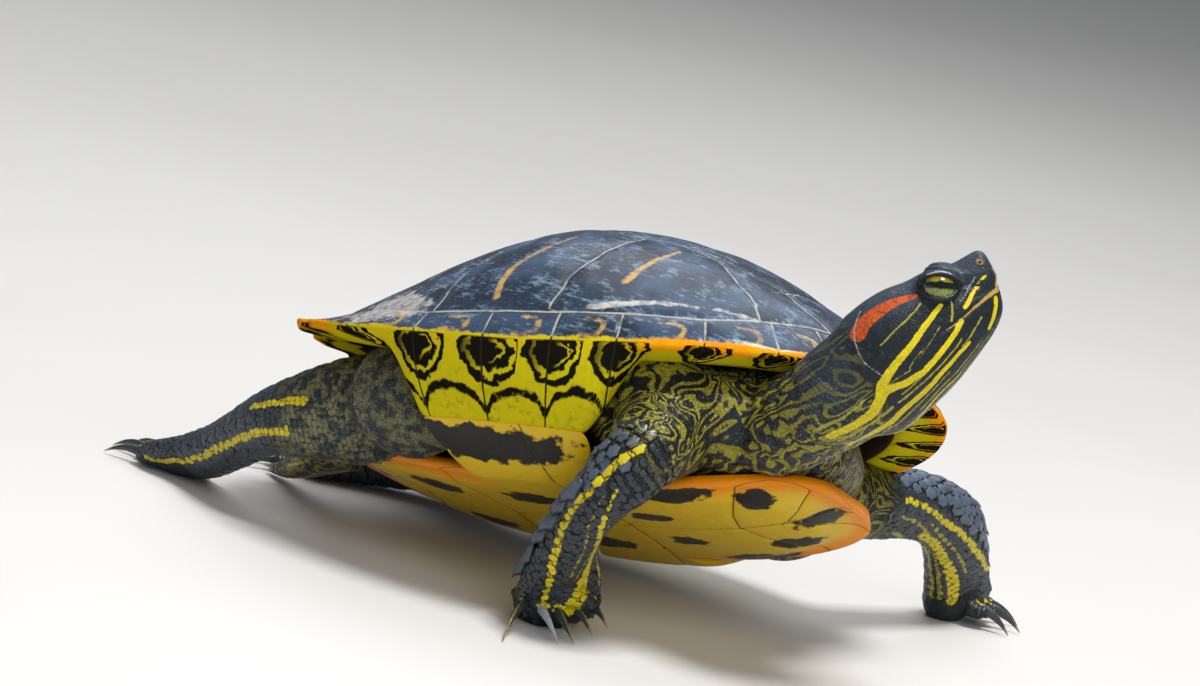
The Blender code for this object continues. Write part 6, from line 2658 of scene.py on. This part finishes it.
@dataclass
class Claws:
    """The long curved claws, each a tapered horn out of its toe."""

    rows: int = 14
    sides: int = 14

    def horn(self, limb: Limb, toe: tuple[Point, Point, Point, Point]) -> Shape:
        """One claw, from inside the tip of the toe.

        Args:
            limb: The leg.
            toe: The root, middle joint and tip of the flesh, and the tip of the claw.

        Returns:
            Its surface.
        """
        _, middle, tip, end = (np.array(p) for p in toe)
        lift, bend = (1.1, 0.16) if limb.is_front else (0.3, 0.24)
        lift = np.array([0.0, 0.0, lift])
        bow = lift * 1.2 + np.array([0.0, 0.0, bend * lengths(end - tip)])
        share = np.linspace(0.0, 1.0, self.rows)[:, None]
        pull = tip + (end - tip) * 0.35 + bow
        line = (middle + lift) * (1 - share) ** 2 + 2 * pull * share * (1 - share) + end * share**2
        ahead = units(np.gradient(line, axis=0))
        side = units(np.cross(np.array([[0.0, 0.0, 1.0]]), ahead))
        over = np.cross(ahead, side)
        radius = CLAW_RADIUS[limb.is_front] * (1 - 0.93 * share**1.35)
        turn = np.arange(self.sides) * 2 * math.pi / self.sides
        wide = np.cos(turn)[None, :, None] * side[:, None] * 0.86
        high = np.sin(turn)[None, :, None] * over[:, None] * 1.05
        points = line[:, None] + radius[:, None] * (wide + high)
        faces = [f[::-1] for f in tube_faces(self.rows, self.sides)]
        top = np.repeat(np.abs(turn - math.pi / 2)[None], self.rows, 0) * radius - 0.22
        values = {"along": np.repeat(share, self.sides, 1).ravel(), "streak": top.ravel()}
        flat = points.reshape(-1, 3)
        flat[:, 2] = np.maximum(flat[:, 2], 0.0)
        return Shape(flat, faces, values)

    def build(self, dark: bpy.types.Material, pale: bpy.types.Material) -> None:
        """Makes all the claws; the second of the right forefoot is a pale, worn one.

        Args:
            dark: The usual horn.
            pale: Worn, pale horn.
        """
        for limb in Limb:
            for number, toe in enumerate(TOES[limb], 1):
                worn = limb is Limb.FRONT_RIGHT and number == 2
                solid = f"claw_{limb.value}_{number}"
                self.horn(limb, toe).build(f"horn_{limb.value}_{number}", pale if worn else dark, solid)


# The studio.


@dataclass
class Studio:
    """Floor, soft lights and camera."""

    azimuth: float = 32.0
    elevation: float = 10.0
    roll: float = 12.0
    distance: float = 1500.0
    target: Point = (-10.7, -2.0, 73.3)
    focal: float = 153.9
    floor_radius: float = 14.0
    lamp_distance: float = 1.4

    def way(self, azimuth: float, elevation: float) -> Vector:
        """The way from the model to a place so many degrees round it and up."""
        turn, rise = math.radians(azimuth), math.radians(elevation)
        return Vector((math.sin(turn) * math.cos(rise), -math.cos(turn) * math.cos(rise), math.sin(rise)))

    def floor(self) -> None:
        """A wide, pale, plain floor."""
        mesh = bpy.data.meshes.new("floor")
        bm = bmesh.new()
        bmesh.ops.create_circle(bm, cap_ends=True, segments=96, radius=self.floor_radius)
        bm.to_mesh(mesh)
        bm.free()
        made, wiring, shader = new_material("studio_floor")
        cloud = wiring.rise(wiring.noise(wiring.place(), 420.0, 3.0), 0.3, 0.7)
        wiring.feed(shader.inputs["Base Color"], wiring.mix(cloud, (0.60, 0.59, 0.57), (0.64, 0.63, 0.61)))
        shader.inputs["Roughness"].default_value = 0.85
        mesh.materials.append(made)
        floor = bpy.data.objects.new("floor", mesh)
        bpy.context.scene.collection.objects.link(floor)

    def light(self, name: str, turned: tuple[float, float], size: float, power: float) -> bpy.types.Object:
        """A square soft light that faces the model.

        Args:
            name: The lamp's name.
            turned: How far round the model and how far up it stands, in degrees.
            size: The side of its square, in metres.
            power: Its power in watts.

        Returns:
            The lamp.
        """
        data = bpy.data.lights.new(name, "AREA")
        data.shape, data.size, data.energy = "SQUARE", size, power
        lamp = bpy.data.objects.new(name, data)
        way = self.way(*turned)
        lamp.location = way * self.lamp_distance
        lamp.rotation_euler = way.to_track_quat("Z", "Y").to_euler()
        bpy.context.scene.collection.objects.link(lamp)
        return lamp

    def lights(self) -> None:
        """A broad key from above, a gentle fill and a pale surround."""
        self.light("key", (66.0, 70.0), 0.36, 19.0)
        self.light("fill", (46.0, 30.0), 0.9, 8.0).visible_glossy = False
        self.light("top", (205.0, 58.0), 1.2, 9.0)
        world = bpy.data.worlds.new("surround")
        world.use_nodes = True
        backdrop = world.node_tree.nodes["Background"]
        backdrop.inputs["Color"].default_value = (0.82, 0.85, 0.90, 1.0)
        backdrop.inputs["Strength"].default_value = 0.26
        bpy.context.scene.world = world
        bpy.context.scene.view_settings.view_transform = "Standard"

    def camera(self) -> None:
        """A long lens from low on the right, leaning a little."""
        turn, lean = math.radians(self.azimuth), math.radians(self.roll)
        back = self.way(self.azimuth, self.elevation)
        level = Vector((math.cos(turn), math.sin(turn), 0.0))
        above = back.cross(level)
        right = level * math.cos(lean) + above * math.sin(lean)
        up = above * math.cos(lean) - level * math.sin(lean)
        data = bpy.data.cameras.new("camera")
        data.lens, data.sensor_width, data.clip_end = self.focal, 36.0, 60.0
        camera = bpy.data.objects.new("camera", data)
        matrix = Matrix((right, up, back)).transposed().to_4x4()
        matrix.translation = (Vector(self.target) + Vector(ORIGIN) + back * self.distance) * MM
        camera.matrix_world = matrix
        bpy.context.scene.collection.objects.link(camera)
        bpy.context.scene.camera = camera

    def build(self) -> None:
        """Sets up the studio."""
        self.floor()
        self.lights()
        self.camera()


def main() -> None:
    """Builds the turtle and its studio."""
    logging.basicConfig(level=logging.INFO, format="%(message)s")
    Studio().build()
    groups = SharedGroups()
    Carapace().build(UpperShellFinish().material(groups))
    Plastron().build(LowerShellFinish().material(groups))
    skin = Skin()
    shape = skin.build(SkinFinish().material(groups))
    coat = ScaleCoat(skin, BVHTree.FromPolygons(shape.points.tolist(), shape.faces), tree_of(shape.points))
    # The plates' lighter blue-grey slate colour is painted sky sheen.
    plates = SkinFinish(
        "scale_horn", slate_sheen=(0.070, 0.098, 0.140), grain_size=0.7, grain_depth=0.05, gloss=0.5, rough=0.28
    ).material(groups)
    for limb in Limb:
        coat.build(f"{limb.value}_scales", leg_fields(limb), plates)
    for name, fields in body_fields().items():
        coat.build(name, fields, plates)
    Eyes().build(EyeFinish().material())
    dark = HornFinish("dark_claw", (0.030, 0.038, 0.045), (0.42, 0.34, 0.03), (0.25, 0.17, 0.08))
    pale = HornFinish("pale_claw", (0.36, 0.40, 0.42), (0.58, 0.58, 0.50), (0.40, 0.28, 0.14))
    Claws().build(dark.material(groups), pale.material(groups))


if __name__ == "__main__":
    main()
